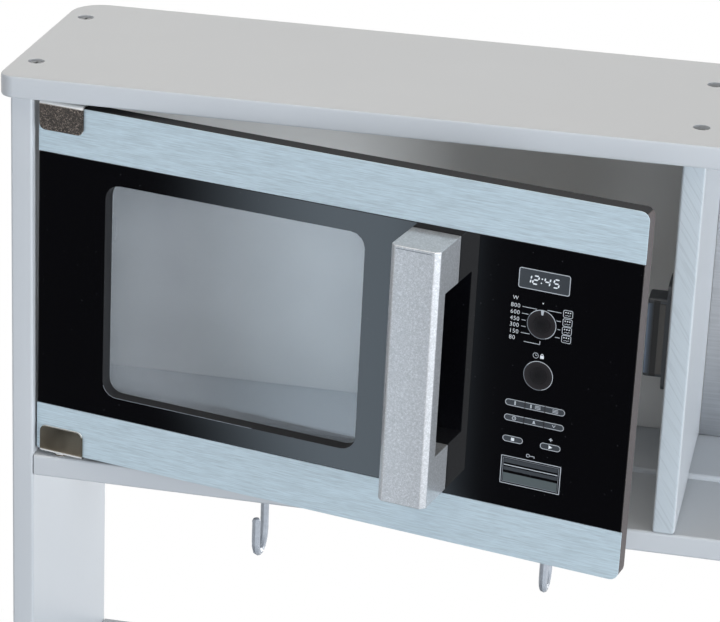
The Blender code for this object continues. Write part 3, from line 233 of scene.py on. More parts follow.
def facing(tree, way):
    """How squarely the surface faces a way: 1 for straight at it, -1 for straight away."""
    return add(tree, "VectorMath", {0: add(tree, "TexCoord", out="Normal"), 1: way}, out="Value",
               operation="DOT_PRODUCT")


def tint(base, share):
    """A colour made lighter or darker by a share of itself."""
    return tuple(min(1, channel * share) for channel in base)


def pattern(tree, height, base, shares, rough=None, relief=None):
    """Lets a pattern shade the surface: by (place, share of the base colour) stops, between two
    roughnesses, and by a relief of (depth in metres, strength)."""
    add(tree, "ValToRGB", {0: height}, feeds="Base Color",
        stops=[(place, tint(base, share)) for place, share in shares])
    if rough:
        add(tree, "MapRange", {"Value": height, "To Min": rough[0], "To Max": rough[1]}, feeds="Roughness")
    if relief:
        add(tree, "Bump", {"Height": height, "Distance": relief[0], "Strength": relief[1]}, feeds="Normal")


def sprayed_lacquer(name, base):
    """Satin polyurethane lacquer sprayed on fibreboard."""
    # Fibreboard sprayed with satin lacquer: an even grey with a broad soft shine and a faint
    # orange peel, its waves about 2 mm across
    material, tree = principled(name, base, Roughness=0.36, IOR=1.5)
    cloud = add(tree, "TexNoise", {"Vector": millimetres(tree), "Scale": 1 / 90, "Detail": 3})
    pattern(tree, cloud, base, [(0.3, 0.975), (0.7, 1.02)], (0.33, 0.40))
    peel = add(tree, "TexNoise", {"Vector": millimetres(tree), "Scale": 1 / 2, "Detail": 2})
    add(tree, "Bump", {"Height": peel, "Distance": 0.00004, "Strength": 0.25}, feeds="Normal")
    return material


def sawn_edge(hues):
    """Lacquer over the sawn front edge of the divider."""
    # Lacquered fibreboard whose front edge keeps the slanted marks of the saw, one every 3 mm or so
    material, tree = principled("lacquer_on_sawn_edge", hues.lacquer, Roughness=0.34, IOR=1.5)
    saw_turn = Euler((0, math.radians(57), 0))
    marks = add(tree, "TexNoise", {"Vector": millimetres(tree, saw_turn, (24, 1, 1)), "Scale": 1 / 1.3,
                                   "Detail": 2, "Roughness": 0.5})
    lines = add(tree, "ValToRGB", {0: marks}, stops=[(0.36, (0, 0, 0)), (0.50, (1, 1, 1))])
    front = add(tree, "MapRange", {"Value": facing(tree, (0, -1, 0)), "From Min": 0.8, "From Max": 0.95})
    drawn = add(tree, "Mix", {0: lines, 6: tint(hues.edge, 0.90), 7: hues.edge}, **COLOURS)
    add(tree, "Mix", {0: front, 6: hues.lacquer, 7: drawn}, feeds="Base Color", **COLOURS)
    cut = add(tree, "Math", {0: lines, 1: front}, operation="MULTIPLY")
    add(tree, "Bump", {"Height": cut, "Distance": 0.00006, "Strength": 0.5}, feeds="Normal")
    return material


def gloss_black(hues, name, node, turn, start):
    """Black high-gloss face, pale back, black edges and window cut, brown grey ends."""
    # Fibreboard with a black high-gloss acrylic face: a deep black that mirrors faintly, with specks
    # of dust caught on it. The window's cut and the long edges are painted black, the bare ends are a
    # brown grey with a dull shine, and the back is a pale balancing foil
    material, tree = principled(name, hues.gloss, IOR=1.49)
    square_to_door = (Matrix.Translation(start) @ turn.to_matrix().to_4x4()).inverted()
    places = [(square_to_door @ vertex.co).x / MM for vertex in NODES[node].data.vertices]
    half = (max(places) - min(places)) / 2
    across = add(tree, "SeparateXYZ", {0: millimetres(tree, turn, start=start)})
    off = add(tree, "Math", {0: across, 1: min(places) + half}, operation="SUBTRACT")
    reach = add(tree, "Math", {0: off}, operation="ABSOLUTE")
    end = add(tree, "MapRange", {"Value": reach, "From Min": half - 1.6, "From Max": half - 1.2})
    faced = facing(tree, turn.to_matrix() @ Vector((0, -1, 0)))
    front = add(tree, "MapRange", {"Value": faced, "From Min": 0.80, "From Max": 0.90})
    back = add(tree, "MapRange", {"Value": faced, "From Min": -0.80, "From Max": -0.90})
    dust = add(tree, "TexVoronoi", {"Vector": millimetres(tree, turn), "Scale": 1 / 5, "Randomness": 1})
    specks = add(tree, "ValToRGB", {0: dust}, stops=[(0.035, (0.05, 0.05, 0.055)), (0.05, hues.gloss)])
    grain = add(tree, "TexNoise", {"Vector": millimetres(tree, turn, (14, 1, 1)), "Scale": 1 / 1.2,
                                   "Detail": 3})
    bare = add(tree, "ValToRGB", {0: grain},
               stops=[(0.3, tint(hues.door_side, 0.86)), (0.7, tint(hues.door_side, 1.12))])
    side = add(tree, "Mix", {0: end, 6: hues.door_edge, 7: bare}, **COLOURS)
    behind = add(tree, "Mix", {0: back, 6: side, 7: hues.back}, **COLOURS)
    add(tree, "Mix", {0: front, 6: behind, 7: specks}, feeds="Base Color", **COLOURS)
    dull = add(tree, "MapRange", {"Value": end, "To Min": 0.85, "To Max": 0.6})
    add(tree, "Mix", {0: front, 2: dull, 3: 0.045}, feeds="Roughness")
    return material


def brushed_strip(hues, name, turn):
    """Aluminium-look laminate brushed along its length."""
    # Anodised aluminium foil on laminate, brushed along the strip: pale blue with fine level streaks.
    # Real brush lines are 0.05 mm apart, so these are drawn at about 0.5 mm to show
    material, tree = principled(name, hues.strip, Metallic=0.3, Roughness=0.42)
    streaks = add(tree, "TexNoise", {"Vector": millimetres(tree, turn, (22, 1, 1)), "Scale": 1 / 0.5,
                                     "Detail": 2, "Roughness": 0.7})
    pattern(tree, streaks, hues.strip, [(0.30, 0.84), (0.5, 1), (0.70, 1.14)], relief=(0.00002, 0.5))
    return material


def silver_lacquer(hues):
    """Silver lacquer with aluminium flake, sprayed on the handles."""
    # Two-coat silver lacquer: flakes of aluminium turned every way sparkle in a grey ground under a
    # clear glossy coat. Real flakes are 0.05 mm, drawn here at about 0.4 mm to show
    material, tree = principled("silver_flake_lacquer", hues.silver, Metallic=0.4, Roughness=0.36,
                                Coat_Weight=0.8, Coat_Roughness=0.1)
    flakes = add(tree, "TexVoronoi", {"Vector": millimetres(tree), "Scale": 1 / 0.4}, out="Color")
    grey = add(tree, "RGBToBW", {0: flakes})
    soft = add(tree, "TexNoise", {"Vector": millimetres(tree), "Scale": 1 / 1.3, "Detail": 3})
    both = add(tree, "Math", {0: grey, 1: soft}, operation="ADD")
    half = add(tree, "Math", {0: both, 1: 0.5}, operation="MULTIPLY")
    pattern(tree, half, hues.silver, [(0.3, 0.80), (0.55, 1), (0.74, 1.30)])
    add(tree, "Bump", {"Height": grey, "Distance": 0.00005, "Strength": 0.35}, feeds="Normal")
    return material


def clear_acrylic():
    """Grey-tinted acrylic sheet whose pale veil, strongest toward its hinged side, is painted light."""
    # Extruded acrylic, 2 mm thick, tinted light grey: it lets the bay show through, mirrors like the gloss
    # beside it and lays a grey veil over both. The veil is painted light, strongest toward the hinges
    material, tree = principled("grey_acrylic_painted_light_veil", linear("C2C6CA"), Roughness=0.015, IOR=1.49,
                                Transmission_Weight=0.94)
    veil_tone = add(tree, "TexNoise", {"Vector": millimetres(tree), "Scale": 1 / 60, "Detail": 2})
    add(tree, "ValToRGB", {0: veil_tone}, feeds="Base Color",
        stops=[(0.35, linear("BEC2C6")), (0.65, linear("C6CACE"))])
    # Painted light: the sheet lets less through toward the hinged side, so its pale veil shows more there
    across = add(tree, "SeparateXYZ", {0: millimetres(tree, DOOR_TURN, start=HINGE)})
    add(tree, "MapRange", {"Value": across, "From Min": 25, "From Max": 120, "To Min": 0.68,
                           "To Max": 0.94}, feeds="Transmission Weight", interpolation_type="SMOOTHSTEP")
    return material


def painted_bend_highlights(tree, base, rough):
    """Turns the clip's bends and cut edges, which face up or down, bright and dull: a painted highlight."""
    upright = add(tree, "SeparateXYZ", {0: add(tree, "TexCoord", out="Normal")}, out="Z")
    steep = add(tree, "Math", {0: upright}, operation="ABSOLUTE")
    bend = add(tree, "MapRange", {"Value": steep, "From Min": 0.12, "From Max": 0.45})
    # Painted highlight: faces turned up or down go near white and lose their metal
    add(tree, "Mix", {0: bend, 6: base, 7: linear("F4F4F2")}, feeds="Base Color", **COLOURS)
    add(tree, "MapRange", {"Value": bend, "To Min": 1.0, "To Max": 0.25}, feeds="Metallic")
    add(tree, "Mix", {0: bend, 6: rough, 7: (0.45, 0.45, 0.45)}, feeds="Roughness", **COLOURS)


def tumbled_nickel(hues):
    """Nickel plate over stamped steel, tumbled and a little pitted."""
    # Stamped steel, barrel plated with nickel: a dark mirror, darkened further by tarnish, with fine
    # bright scuffs about half a millimetre across
    material, tree = principled("barrel_plated_nickel", hues.nickel, Metallic=1.0, Roughness=0.2)
    pits = add(tree, "TexNoise", {"Vector": millimetres(tree), "Scale": 1 / 0.5, "Detail": 3,
                                  "Roughness": 0.7})
    rough = add(tree, "ValToRGB", {0: pits}, stops=[(place, (value, value, value)) for place, value in (
        (0.44, 0.10), (0.56, 0.20), (0.64, 0.45))])
    tarnish = add(tree, "ValToRGB", {0: pits}, stops=[(place, tint(linear("8A7F77"), share))
                                                      for place, share in (
        (0.38, 0.22), (0.57, 0.40), (0.67, 1.8))])
    add(tree, "Bump", {"Height": pits, "Distance": 0.00012, "Strength": 0.4}, feeds="Normal")
    # A painted white highlight lies along the bends
    painted_bend_highlights(tree, tarnish, rough)
    return material


def polished_nickel(hues):
    """Nickel plate over polished steel."""
    # Polished steel plated with nickel: a smooth warm mirror, with a painted white highlight along its bends
    material, tree = principled("polished_nickel", hues.nickel, Metallic=1.0, Roughness=0.1)
    cloud = add(tree, "TexNoise", {"Vector": millimetres(tree), "Scale": 1 / 9, "Detail": 1})
    rough = add(tree, "ValToRGB", {0: cloud}, stops=[(0.3, (0.12, 0.12, 0.12)), (0.7, (0.17, 0.17, 0.17))])
    shade = add(tree, "ValToRGB", {0: cloud},
                stops=[(0.3, tint(hues.nickel, 0.95)), (0.7, tint(hues.nickel, 1.05))])
    painted_bend_highlights(tree, shade, rough)
    return material


def brushed_steel(hues):
    """Stainless steel, brushed."""
    # Stainless steel brushed with a belt: long fine lines that draw highlights out across them. Real
    # lines are 0.05 mm apart, drawn here at about 0.8 mm to show
    material, tree = principled("brushed_stainless_steel", hues.steel, Metallic=1.0, Roughness=0.3,
                                Anisotropic=0.5)
    lines = add(tree, "TexNoise", {"Vector": millimetres(tree, stretch=(30, 30, 1)), "Scale": 1 / 0.8,
                                   "Detail": 4})
    pattern(tree, lines, hues.steel, [(0.35, 0.90), (0.65, 1.06)], (0.24, 0.40), (0.00002, 0.4))
    return material


def bright_sheet(hues):
    """Bright rolled steel sheet."""
    # Bright-annealed steel sheet as it leaves the rolls: a blurred mirror with faint level roll
    # lines, 0.1 mm apart in truth and about 1 mm here to show
    material, tree = principled("bright_rolled_steel", hues.sheet, Metallic=1.0, Roughness=0.32)
    rolled = add(tree, "TexNoise", {"Vector": millimetres(tree, stretch=(40, 40, 1)), "Scale": 1,
                                    "Detail": 2})
    pattern(tree, rolled, hues.sheet, [(0.3, 0.90), (0.7, 1.06)], (0.28, 0.38))
    return material


def satin(name, base, roughness, grit, depth, **sockets):
    """A plain finish with a fine even grain: its size in millimetres and its depth in metres."""
    material, tree = principled(name, base, Roughness=roughness, IOR=1.5, **sockets)
    grain = add(tree, "TexNoise", {"Vector": millimetres(tree), "Scale": 1 / grit, "Detail": 3})
    pattern(tree, grain, base, [(0.35, 0.94), (0.65, 1.06)], relief=(depth, 0.4))
    return material


def magnet_catch(hues):
    """ABS case of the magnet catch, with its two pole plates in a painted reflection and the slot between
    them painted black for its shade.
    """
    # Moulded ABS, spark-eroded tool: dark grey with a fine dull grain. The pole plates that stand out
    # of its front are dull steel with a painted reflection, light and bluish on the door's side; the slot
    # between them is painted black for its shade
    pole_proud, slot_across, slot_half = 0.3 * MM, 4.75 * MM, 1.6 * MM
    material, tree = principled("moulded_abs_with_poles", hues.catch, Roughness=0.46, IOR=1.5)
    low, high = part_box("catch_body")
    place = add(tree, "SeparateXYZ", {0: add(tree, "TexCoord", out="Object")}, out=None).outputs
    front = add(tree, "Math", {0: facing(tree, (0, -1, 0)), 1: 0.8}, operation="GREATER_THAN")
    proud = add(tree, "Math", {0: place["Y"], 1: low[1] + pole_proud}, operation="LESS_THAN")
    off = add(tree, "Math", {0: place["X"], 1: low[0] + slot_across}, operation="SUBTRACT")
    beside = add(tree, "Math", {0: add(tree, "Math", {0: off}, operation="ABSOLUTE"), 1: slot_half},
                 operation="LESS_THAN")
    painted_slot_shade = add(tree, "Math", {0: beside, 1: front}, operation="MULTIPLY")
    grain = add(tree, "TexNoise", {"Vector": millimetres(tree), "Scale": 1 / 0.5, "Detail": 3})
    case = add(tree, "ValToRGB", {0: grain},
               stops=[(0.35, tint(hues.catch, 0.94)), (0.65, tint(hues.catch, 1.06))])
    # Painted shade: the slot between the poles is painted near black
    case_with_painted_slot_shade = add(tree, "Mix", {0: painted_slot_shade, 6: case, 7: linear("0A0A0B")}, **COLOURS)
    across = add(tree, "MapRange", {"Value": place["X"], "From Min": low[0], "From Max": high[0]})
    # Painted reflection: the poles run from light blue on the door's side to dark steel away from it
    painted_pole_reflection = add(tree, "ValToRGB", {0: across}, stops=[
        (0.02, linear("8391A3")), (0.12, linear("55606E")), (0.24, linear("34373B")),
        (0.6, linear("4E4B47"))])
    add(tree, "Mix", {0: proud, 6: case_with_painted_slot_shade, 7: painted_pole_reflection}, feeds="Base Color", **COLOURS)
    add(tree, "Bump", {"Height": grain, "Distance": 0.00002, "Strength": 0.4}, feeds="Normal")
    return material


def dial_ink():
    """The printed dials: a brown-black that is deepest in the middle."""
    # Screen ink on gloss film, printed as a fine screen that closes toward the dial's middle
    material, tree = principled("screen_ink_dial", linear("2E2A2B"), Roughness=0.1, IOR=1.5)
    place = millimetres(tree)
    reaches = [add(tree, "VectorMath", {0: place, 1: (across, 0, -down)}, out="Value",
                   operation="DISTANCE") for across, down, _ in DIALS]
    nearest = add(tree, "Math", {0: reaches[0], 1: reaches[1]}, operation="MINIMUM")
    out = add(tree, "MapRange", {"Value": nearest, "From Max": DIALS[0][2]})
    add(tree, "ValToRGB", {0: out}, feeds="Base Color",
        stops=[(0.1, linear("131112")), (0.55, linear("1F1C1D")), (0.95, linear("2E2A2B"))])
    return material


def ink(name, base):
    """Screen-printed ink."""
    # Screen ink on gloss film: flat, nearly as smooth as the film, its edge a hair above the gloss
    return satin("screen_ink_" + name, base, 0.14, 0.25, 0.000001)


# Every finish by name, made from the user's colours
MAKERS = {
    "lacquer": lambda hues: sprayed_lacquer("sprayed_satin_lacquer", hues.lacquer),
    "back_lacquer": lambda hues: sprayed_lacquer("sprayed_back_panel_lacquer", hues.back),
    "sawn_edge": sawn_edge,
    "microwave_gloss": lambda hues: gloss_black(hues, "gloss_acrylic_face", "microwave_door", DOOR_TURN,
                                                HINGE),
    "oven_gloss": lambda hues: gloss_black(hues, "gloss_acrylic_oven_face", "oven_door", SQUARE,
                                           Vector((0, 0, 0))),
    "microwave_strip": lambda hues: brushed_strip(hues, "brushed_anodised_strip", DOOR_TURN),
    "oven_strip": lambda hues: brushed_strip(hues, "brushed_anodised_oven_strip", SQUARE),
    "silver": silver_lacquer,
    "acrylic": lambda hues: clear_acrylic(),
    "nickel": tumbled_nickel,
    "polished_nickel": polished_nickel,
    "steel": brushed_steel,
    "sheet": bright_sheet,
    # Zinc plate, blue passivated: a bright metal with a slightly cloudy shine
    "zinc": lambda hues: satin("zinc_plated_steel", linear("A2A3A4"), 0.26, 0.9, 0.00002, Metallic=1.0),
    "catch": magnet_catch,
    # Steel wire dipped in grey plastisol: soft satin skin with shallow runs
    "hook": lambda hues: satin("dipped_plastisol", hues.hook, 0.34, 2.2, 0.00006),
    # Black acrylic cut from sheet: gloss black with a faint blue cast
    "hob": lambda hues: satin("black_acrylic", linear("08090C"), 0.06, 3.0, 0.000003),
    # Moulded ABS in silver grey with a satin skin
    "knob": lambda hues: satin("silver_abs", linear("A4A6AA"), 0.34, 0.5, 0.00002, Metallic=0.3),
    "ink": lambda hues: ink("light", hues.ink),
    # Grey print, also used for the painted highlight along the window's edge
    "grey_ink_and_highlight": lambda hues: ink("grey", hues.grey_ink_and_highlight),
    "ink_dark": lambda hues: ink("dark", hues.ink_dark),
    "ink_dial": lambda hues: dial_ink(),
    "ink_band": lambda hues: ink("band", hues.ink_band),
    "ink_white": lambda hues: ink("white", hues.ink_white),
}
MATERIALS = {}


def stuff(name):
    """A finish by name, made the first time that it is asked for."""
    if name not in MATERIALS:
        MATERIALS[name] = MAKERS[name](bpy.context.scene.kitchen_colours)
    return MATERIALS[name]


def dress(nodes, finish, round_over=None):
    """Gives CAD nodes their material and rolls their edges over, without touching their meshes."""
    sizes = bpy.context.scene.kitchen_sizes
    for node in nodes:
        solid = NODES[node]
        solid.data.shade_smooth()
        solid.material_slots[0].material = stuff(finish)
        weld = solid.modifiers.new("weld", "WELD")
        weld.merge_threshold = 0.00001
        flat = solid.modifiers.new("flat_faces", "DECIMATE")
        flat.decimate_type = "DISSOLVE"
        flat.angle_limit = math.radians(0.5)
        edges = solid.modifiers.new("round_over", "BEVEL")
        edges.width = sizes.round_over if round_over is None else round_over
        edges.segments = sizes.round_steps
        edges.limit_method = "ANGLE"
        edges.angle_limit = math.radians(40)
        edges.use_clamp_overlap = True
        normals = solid.modifiers.new("even_shading", "WEIGHTED_NORMAL")
        normals.weight = 100


def put_in_order(items, place):
    """Sorts points, edges or faces by a place, because extruding leaves them in no fixed order."""
    ranks = {item: rank for rank, item in enumerate(sorted(items, key=place))}
    items.sort(key=ranks.get)


def new_piece(name, shape, finish, body, matrix=None, replaced=()):
    """Turns a bmesh into a piece with its finish, riding on a body."""
    bmesh.ops.recalc_face_normals(shape, faces=shape.faces)
    put_in_order(shape.verts, lambda vertex: vertex.co[:])
    put_in_order(shape.edges, lambda edge: sorted(vertex.co[:] for vertex in edge.verts))
    put_in_order(shape.faces, lambda face: sorted(vertex.co[:] for vertex in face.verts))
    mesh = bpy.data.meshes.new(name)
    shape.to_mesh(mesh)
    shape.free()
    mesh.shade_smooth()
    mesh.set_sharp_from_angle(angle=math.radians(35))
    made = bpy.data.objects.new(name, mesh)
    bpy.context.scene.collection.objects.link(made)
    mesh.materials.append(stuff(finish))
    if matrix is not None:
        made.matrix_world = matrix
    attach(made, body)
    if replaced:
        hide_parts(*replaced)


# Round-overs of thin or finely shaped nodes
FINE_EDGE = 0.0001
DOOR_EDGE = 0.0002
PIN_EDGE = 0.00035
HANDLE_EDGE = 0.0005

# The prints, from here to their layers, in millimetres. A place is (across, down) on the door, a box
# is its middle, width, height and corner radius, and a dial is its middle and radius. The whole print
# is raised up the door a little and held clear of the face
PRINT_RAISE = 0.7
PRINT_CLEAR = 0.02

# A thin painted highlight follows the window's lower left edge, over a share of its foot, and a thin
# dark line follows the handle's upper edge
WINDOW_LEFT, WINDOW_RIGHT, WINDOW_FOOT, WINDOW_CORNER = 39.2, 184.0, 156.5, 8.0
WINDOW_HIGHLIGHT_SHARE = 0.6
WINDOW_HIGHLIGHT_WIDTH = 0.35
HANDLE_DARK_LINE = ((211.9, 31.1), (230.8, 31.2))
HANDLE_DARK_LINE_WIDTH = 0.4

# The knobs' scales and pointers, round each knob's axis
SCALE_STEPS = 7
SCALE_TURN = 270
SCALE_INSIDE, SCALE_OUTSIDE, SCALE_END = 18.2, 20.4, 21.5
SCALE_LINE = 0.7
POINTER = (0, -7.4, 1.4, 6.6, 0.65)

# Some lines are drawn thinner or wider than the printed line, by these shares of it
THIN_SHARE, SIGN_SHARE, BLADE_SHARE = 0.7, 0.8, 1.2

# The clock
CLOCK = (278.75, 45.1, 26.5, 10.6, 1.2)
CLOCK_RIM_SHARE = 1.25
CLOCK_FIGURES = (("1", -8.3), ("2", -4.4), ("4", 1.5), ("5", 6.2))
FIGURE_W, FIGURE_H, FIGURE_LINE = 2.7, 4.2, 0.72
FIGURE_LEAN = 0.16
COLON_ACROSS, COLON_RISE, COLON_DOT = -1.35, 1.1, 0.38

# The dials: the upper one's numbers, each with its row and where its tick ends, and its programmes,
# each with its row and where its tick starts. A ring is light round a lit side, turned by some degrees
DIALS = ((278.9, 67.5, 7.6), (279.1, 94.5, 7.7))
DIAL_RING = 0.32
DIAL_FACE_IN = 0.25
DIAL_LIT_TURN, DIAL_LIT_COSINE = 35, -0.35
POINT_MARK = ((-0.85, 0.3), (0.85, 0.3), (0.5, 2.5), (0, 2.9), (-0.5, 2.5))
DOT_OVER, DOT = 3.5, 0.36
UNIT_PLACE, UNIT_H = (264.7, 56.1), 2.1
NUMBER_ACROSS, NUMBER_H = 264.9, 2.25
POWERS = (("800", 60.0, 276.0), ("600", 63.5, 271.8), ("450", 66.9, 270.6), ("300", 70.2, 270.8),
          ("150", 73.6, 273.2))
TICK_START = 268.5
LAST_POWER = ("80", 264.2, 77.0)
LAST_TICK = ((270.4, 78.0), (278.7, 78.0), (278.7, 76.2))
PROGRAMMES = ((59.5, 281.4), (64.0, 286.3), (68.3, 287.2), (72.6, 286.2))
PROGRAMME_ACROSS, PROGRAMME_TICK_END = 292.0, 288.6
PROGRAMME_BOX = (5.0, 4.1, 0.9)
PROGRAMME_DOTS, PROGRAMME_DOT, PROGRAMME_ROW = (-1.2, 0, 1.2), 0.33, 0.75
WAVE_W, WAVE_H, WAVE_STEPS = 2.8, 0.22, 8
CLOCK_SIGN = (277.1, 84.1, 1.5)
CLOCK_SIGN_HANDS = ((277.1, 83.2), (277.1, 84.1), (277.8, 84.1))
LOCK_CASE = (280.4, 84.4, 1.9, 1.6, 0.2)
LOCK_ARCH = (280.4, 83.6, 0.6, 0.8)

# The keys and the opening bar. Across the upper row, signs are counted in keys from its left end
KEYS_LEFT, KEYS_RIGHT = 263.1, 294.4
KEY_ROWS = ((109.7, 113.2), (117.9, 121.3))
KEY_GAP, KEY_GAP_PAST = 0.45, 0.05
SIGN_ROWS = (111.45, 119.6)
SIGN_POSTS, SIGN_POST, SIGN_POST_RISE = (0.5, 1.3), 0.7, 1.0
SIGN_BARS, SIGN_BAR_RISES = ((1.5, 1.78), (2.38, 2.66)), (-0.7, 0, 0.7)
ROUND_SIGN, ROUND_SIGN_IN = 1.1, 0.75
ROUND_SIGN_HANDS = ((0, -0.4), (0, 0), (0.5, 0))
BELL = ((-0.95, 0.75), (-0.55, 0.35), (-0.45, -0.5), (0, -0.95), (0.45, -0.5), (0.55, 0.35), (0.95, 0.75))
TICK_SIGN = ((-0.8, -0.8), (0, 0.5), (0.8, -0.8))
STOP_KEY, START_KEY, KEYS_DOWN = 268.4, 288.2, 131.0
SINGLE_KEY_W, SINGLE_KEY_H, SINGLE_KEY_CORNER, SINGLE_KEY_RIM_CORNER = 10.7, 3.4, 1.4, 1.69
STOP_SIGN = (1.7, 1.7, 0.15)
START_SIGN = ((-0.8, -1.0), (1.1, 0), (-0.8, 1.0))
PLUS_SIGN = (288.2, 127.0, 0.9, 0.5)
KEY_SIGN = (277.0, 138.0, 0.95)
KEY_SIGN_BLADE = ((277.95, 138.0), (280.3, 138.0), (280.3, 138.9))
BAR_LEFT, BAR_RIGHT, BAR_TOP, BAR_FOOT = 263.1, 294.7, 140.3, 155.5
BAR_RIM, BAR_RIM_CORNER, BAR_INNER_RIM, BAR_INNER_IN = 0.38, 0.4, 0.3, 2.0
BAR_FIELDS_IN = 3.2
BAR_FIELDS = ((2.7, 2.2), (6.9, 1.9))
BAR_LINE_DOWN, BAR_LINE, BAR_LINE_IN = 5.0, 0.45, 1.6
BAR_BAND = (11.6, 4.6)
SMALL_CORNER = 0.1

# The print's layers from below: name, finish and how many prints lie under it
PRINTS = (("dials", "ink_dial", 0), ("fields", "ink_dark", 0), ("band", "ink_band", 0),
          ("grey", "grey_ink_and_highlight", 1), ("light", "ink", 1), ("gaps", "ink_dial", 2), ("white", "ink_white", 2))

SEGMENTS = {"1": "bc", "2": "abged", "4": "fgbc", "5": "afgcd"}


def round_box(across, down, width, height, radius, steps=5):
    """A rounded rectangle round its middle."""
    outline = []
    for turn, (side, rise) in enumerate(((1, 1), (-1, 1), (-1, -1), (1, -1))):
        for step in range(steps + 1):
            angle = math.pi / 2 * (turn + step / steps)
            outline.append((across + side * (width / 2 - radius) + radius * math.cos(angle),
                            down + rise * (height / 2 - radius) + radius * math.sin(angle)))
    return outline


def disc(across, down, radius, steps=40):
    """A circle."""
    return [(across + radius * math.cos(2 * math.pi * step / steps),
             down + radius * math.sin(2 * math.pi * step / steps)) for step in range(steps)]


def moved(across, down, outline):
    """An outline drawn round a place."""
    return [(across + side, down + rise) for side, rise in outline]


def stamp(shape, outline, inside=None):
    """Adds one flat mark: filled, or a band between two outlines with as many points."""
    outer = [shape.verts.new((across * MM, 0, -down * MM)) for across, down in outline]
    if inside is None:
        shape.faces.new(outer)
        return
    inner = [shape.verts.new((across * MM, 0, -down * MM)) for across, down in inside]
    for index in range(len(outer)):
        after = (index + 1) % len(outer)
        shape.faces.new((outer[index], outer[after], inner[after], inner[index]))


def stroke(shape, path, width):
    """Adds a line of a width through points, its corners mitred."""
    points = [Vector(point) for point in path]
    sides = []
    for index, point in enumerate(points):
        before = (point - points[index - 1]).normalized() if index else None
        after = (points[index + 1] - point).normalized() if index + 1 < len(points) else None
        before = before or after
        after = after or before
        normal = Vector((-before.y - after.y, before.x + after.x)).normalized()
        spread = width / 2 / max(0.3, normal.dot(Vector((-before.y, before.x))))
        sides.append((point + normal * spread, point - normal * spread))
    stamp(shape, [tuple(left) for left, _ in sides] + [tuple(right) for _, right in reversed(sides)])


def frame_line(shape, across, down, width, height, radius, line):
    """Adds the outline of a rounded box, drawn inside its size."""
    stamp(shape, round_box(across, down, width, height, radius),
          round_box(across, down, width - 2 * line, height - 2 * line, max(radius - line, 0.01)))


def lettering(shape, text, across, down, height):
    """Adds numbers in a plain face round their middle; height is a capital's, in millimetres."""
    capital_share = 0.73
    thinned_share = 0.013
    curve = bpy.data.curves.new("numbers", "FONT")
    curve.body = text
    curve.align_x = "CENTER"
    curve.align_y = "CENTER"
    curve.size = height * MM / capital_share
    curve.offset = -thinned_share * curve.size
    curve.space_character = 1.1
    curve.resolution_u = 3
    holder = bpy.data.objects.new("numbers", curve)
    flat = bpy.data.meshes.new_from_object(holder)
    flat.transform(Matrix.Translation((across * MM, 0, -down * MM)) @ Matrix.Rotation(math.pi / 2, 4, "X"))
    shape.from_mesh(flat)
    bpy.data.objects.remove(holder)
    bpy.data.curves.remove(curve)
    bpy.data.meshes.remove(flat)


def digit(shape, figure, across, down):
    """Adds one seven-segment figure round its middle, leaning to the right."""
    half = FIGURE_W / 2
    rise = FIGURE_H / 2
    ends = {"a": ((-half, -rise), (half, -rise)), "b": ((half, -rise), (half, 0)),
            "c": ((half, 0), (half, rise)), "d": ((-half, rise), (half, rise)),
            "e": ((-half, 0), (-half, rise)), "f": ((-half, -rise), (-half, 0)),
            "g": ((-half, 0), (half, 0))}
    gap_share = 0.30
    for segment in SEGMENTS[figure]:
        start, end = (Vector(point) for point in ends[segment])
        along = (end - start).normalized()
        start += along * FIGURE_LINE * gap_share
        end -= along * FIGURE_LINE * gap_share
        point = along * FIGURE_LINE / 2
        side = Vector((-along.y, along.x)) * FIGURE_LINE / 2
        corners = [start, start + point + side, end - point + side, end, end - point - side,
                   start + point - side]
        stamp(shape, [(across + corner.x - corner.y * FIGURE_LEAN, down + corner.y) for corner in corners])


def raised(shape):
    """Gives the flat marks gathered in a shape the thickness of a print."""
    bmesh.ops.remove_doubles(shape, verts=shape.verts, dist=1e-7)
    extruded = bmesh.ops.extrude_face_region(shape, geom=list(shape.faces))["geom"]
    top = [item for item in extruded if isinstance(item, bmesh.types.BMVert)]
    bmesh.ops.translate(shape, verts=top, vec=(0, -bpy.context.scene.kitchen_sizes.print_thickness, 0))
    return shape


def press(name, shape, finish, layer=0, face=DOOR_FRONT):
    """Puts the marks gathered in a shape on the microwave door or its handle as a thin print."""
    thickness = bpy.context.scene.kitchen_sizes.print_thickness
    lift = face - PRINT_CLEAR * MM - layer * (thickness + PRINT_CLEAR * MM / 2)
    matrix = DOOR_FRAME @ Matrix.Translation((-AXIS_ACROSS, lift, PRINT_RAISE * MM))
    new_piece(name, raised(shape), finish, "microwave_leaf", matrix)


class KitchenStep(bpy.types.Operator):
    """What every step of the finish shares."""
    bl_idname = "kitchen.step"
    bl_label = "Kitchen step"
    bl_options = {"REGISTER", "UNDO"}


class KITCHEN_OT_boards(KitchenStep):
    """Lacquers the boards"""
    bl_idname = "kitchen.boards"
    bl_label = "Boards"

    def execute(self, context):
        dress(LACQUERED, "lacquer")
        dress(BACKS, "back_lacquer")
        dress(["upper_divider"], "sawn_edge")
        return {"FINISHED"}


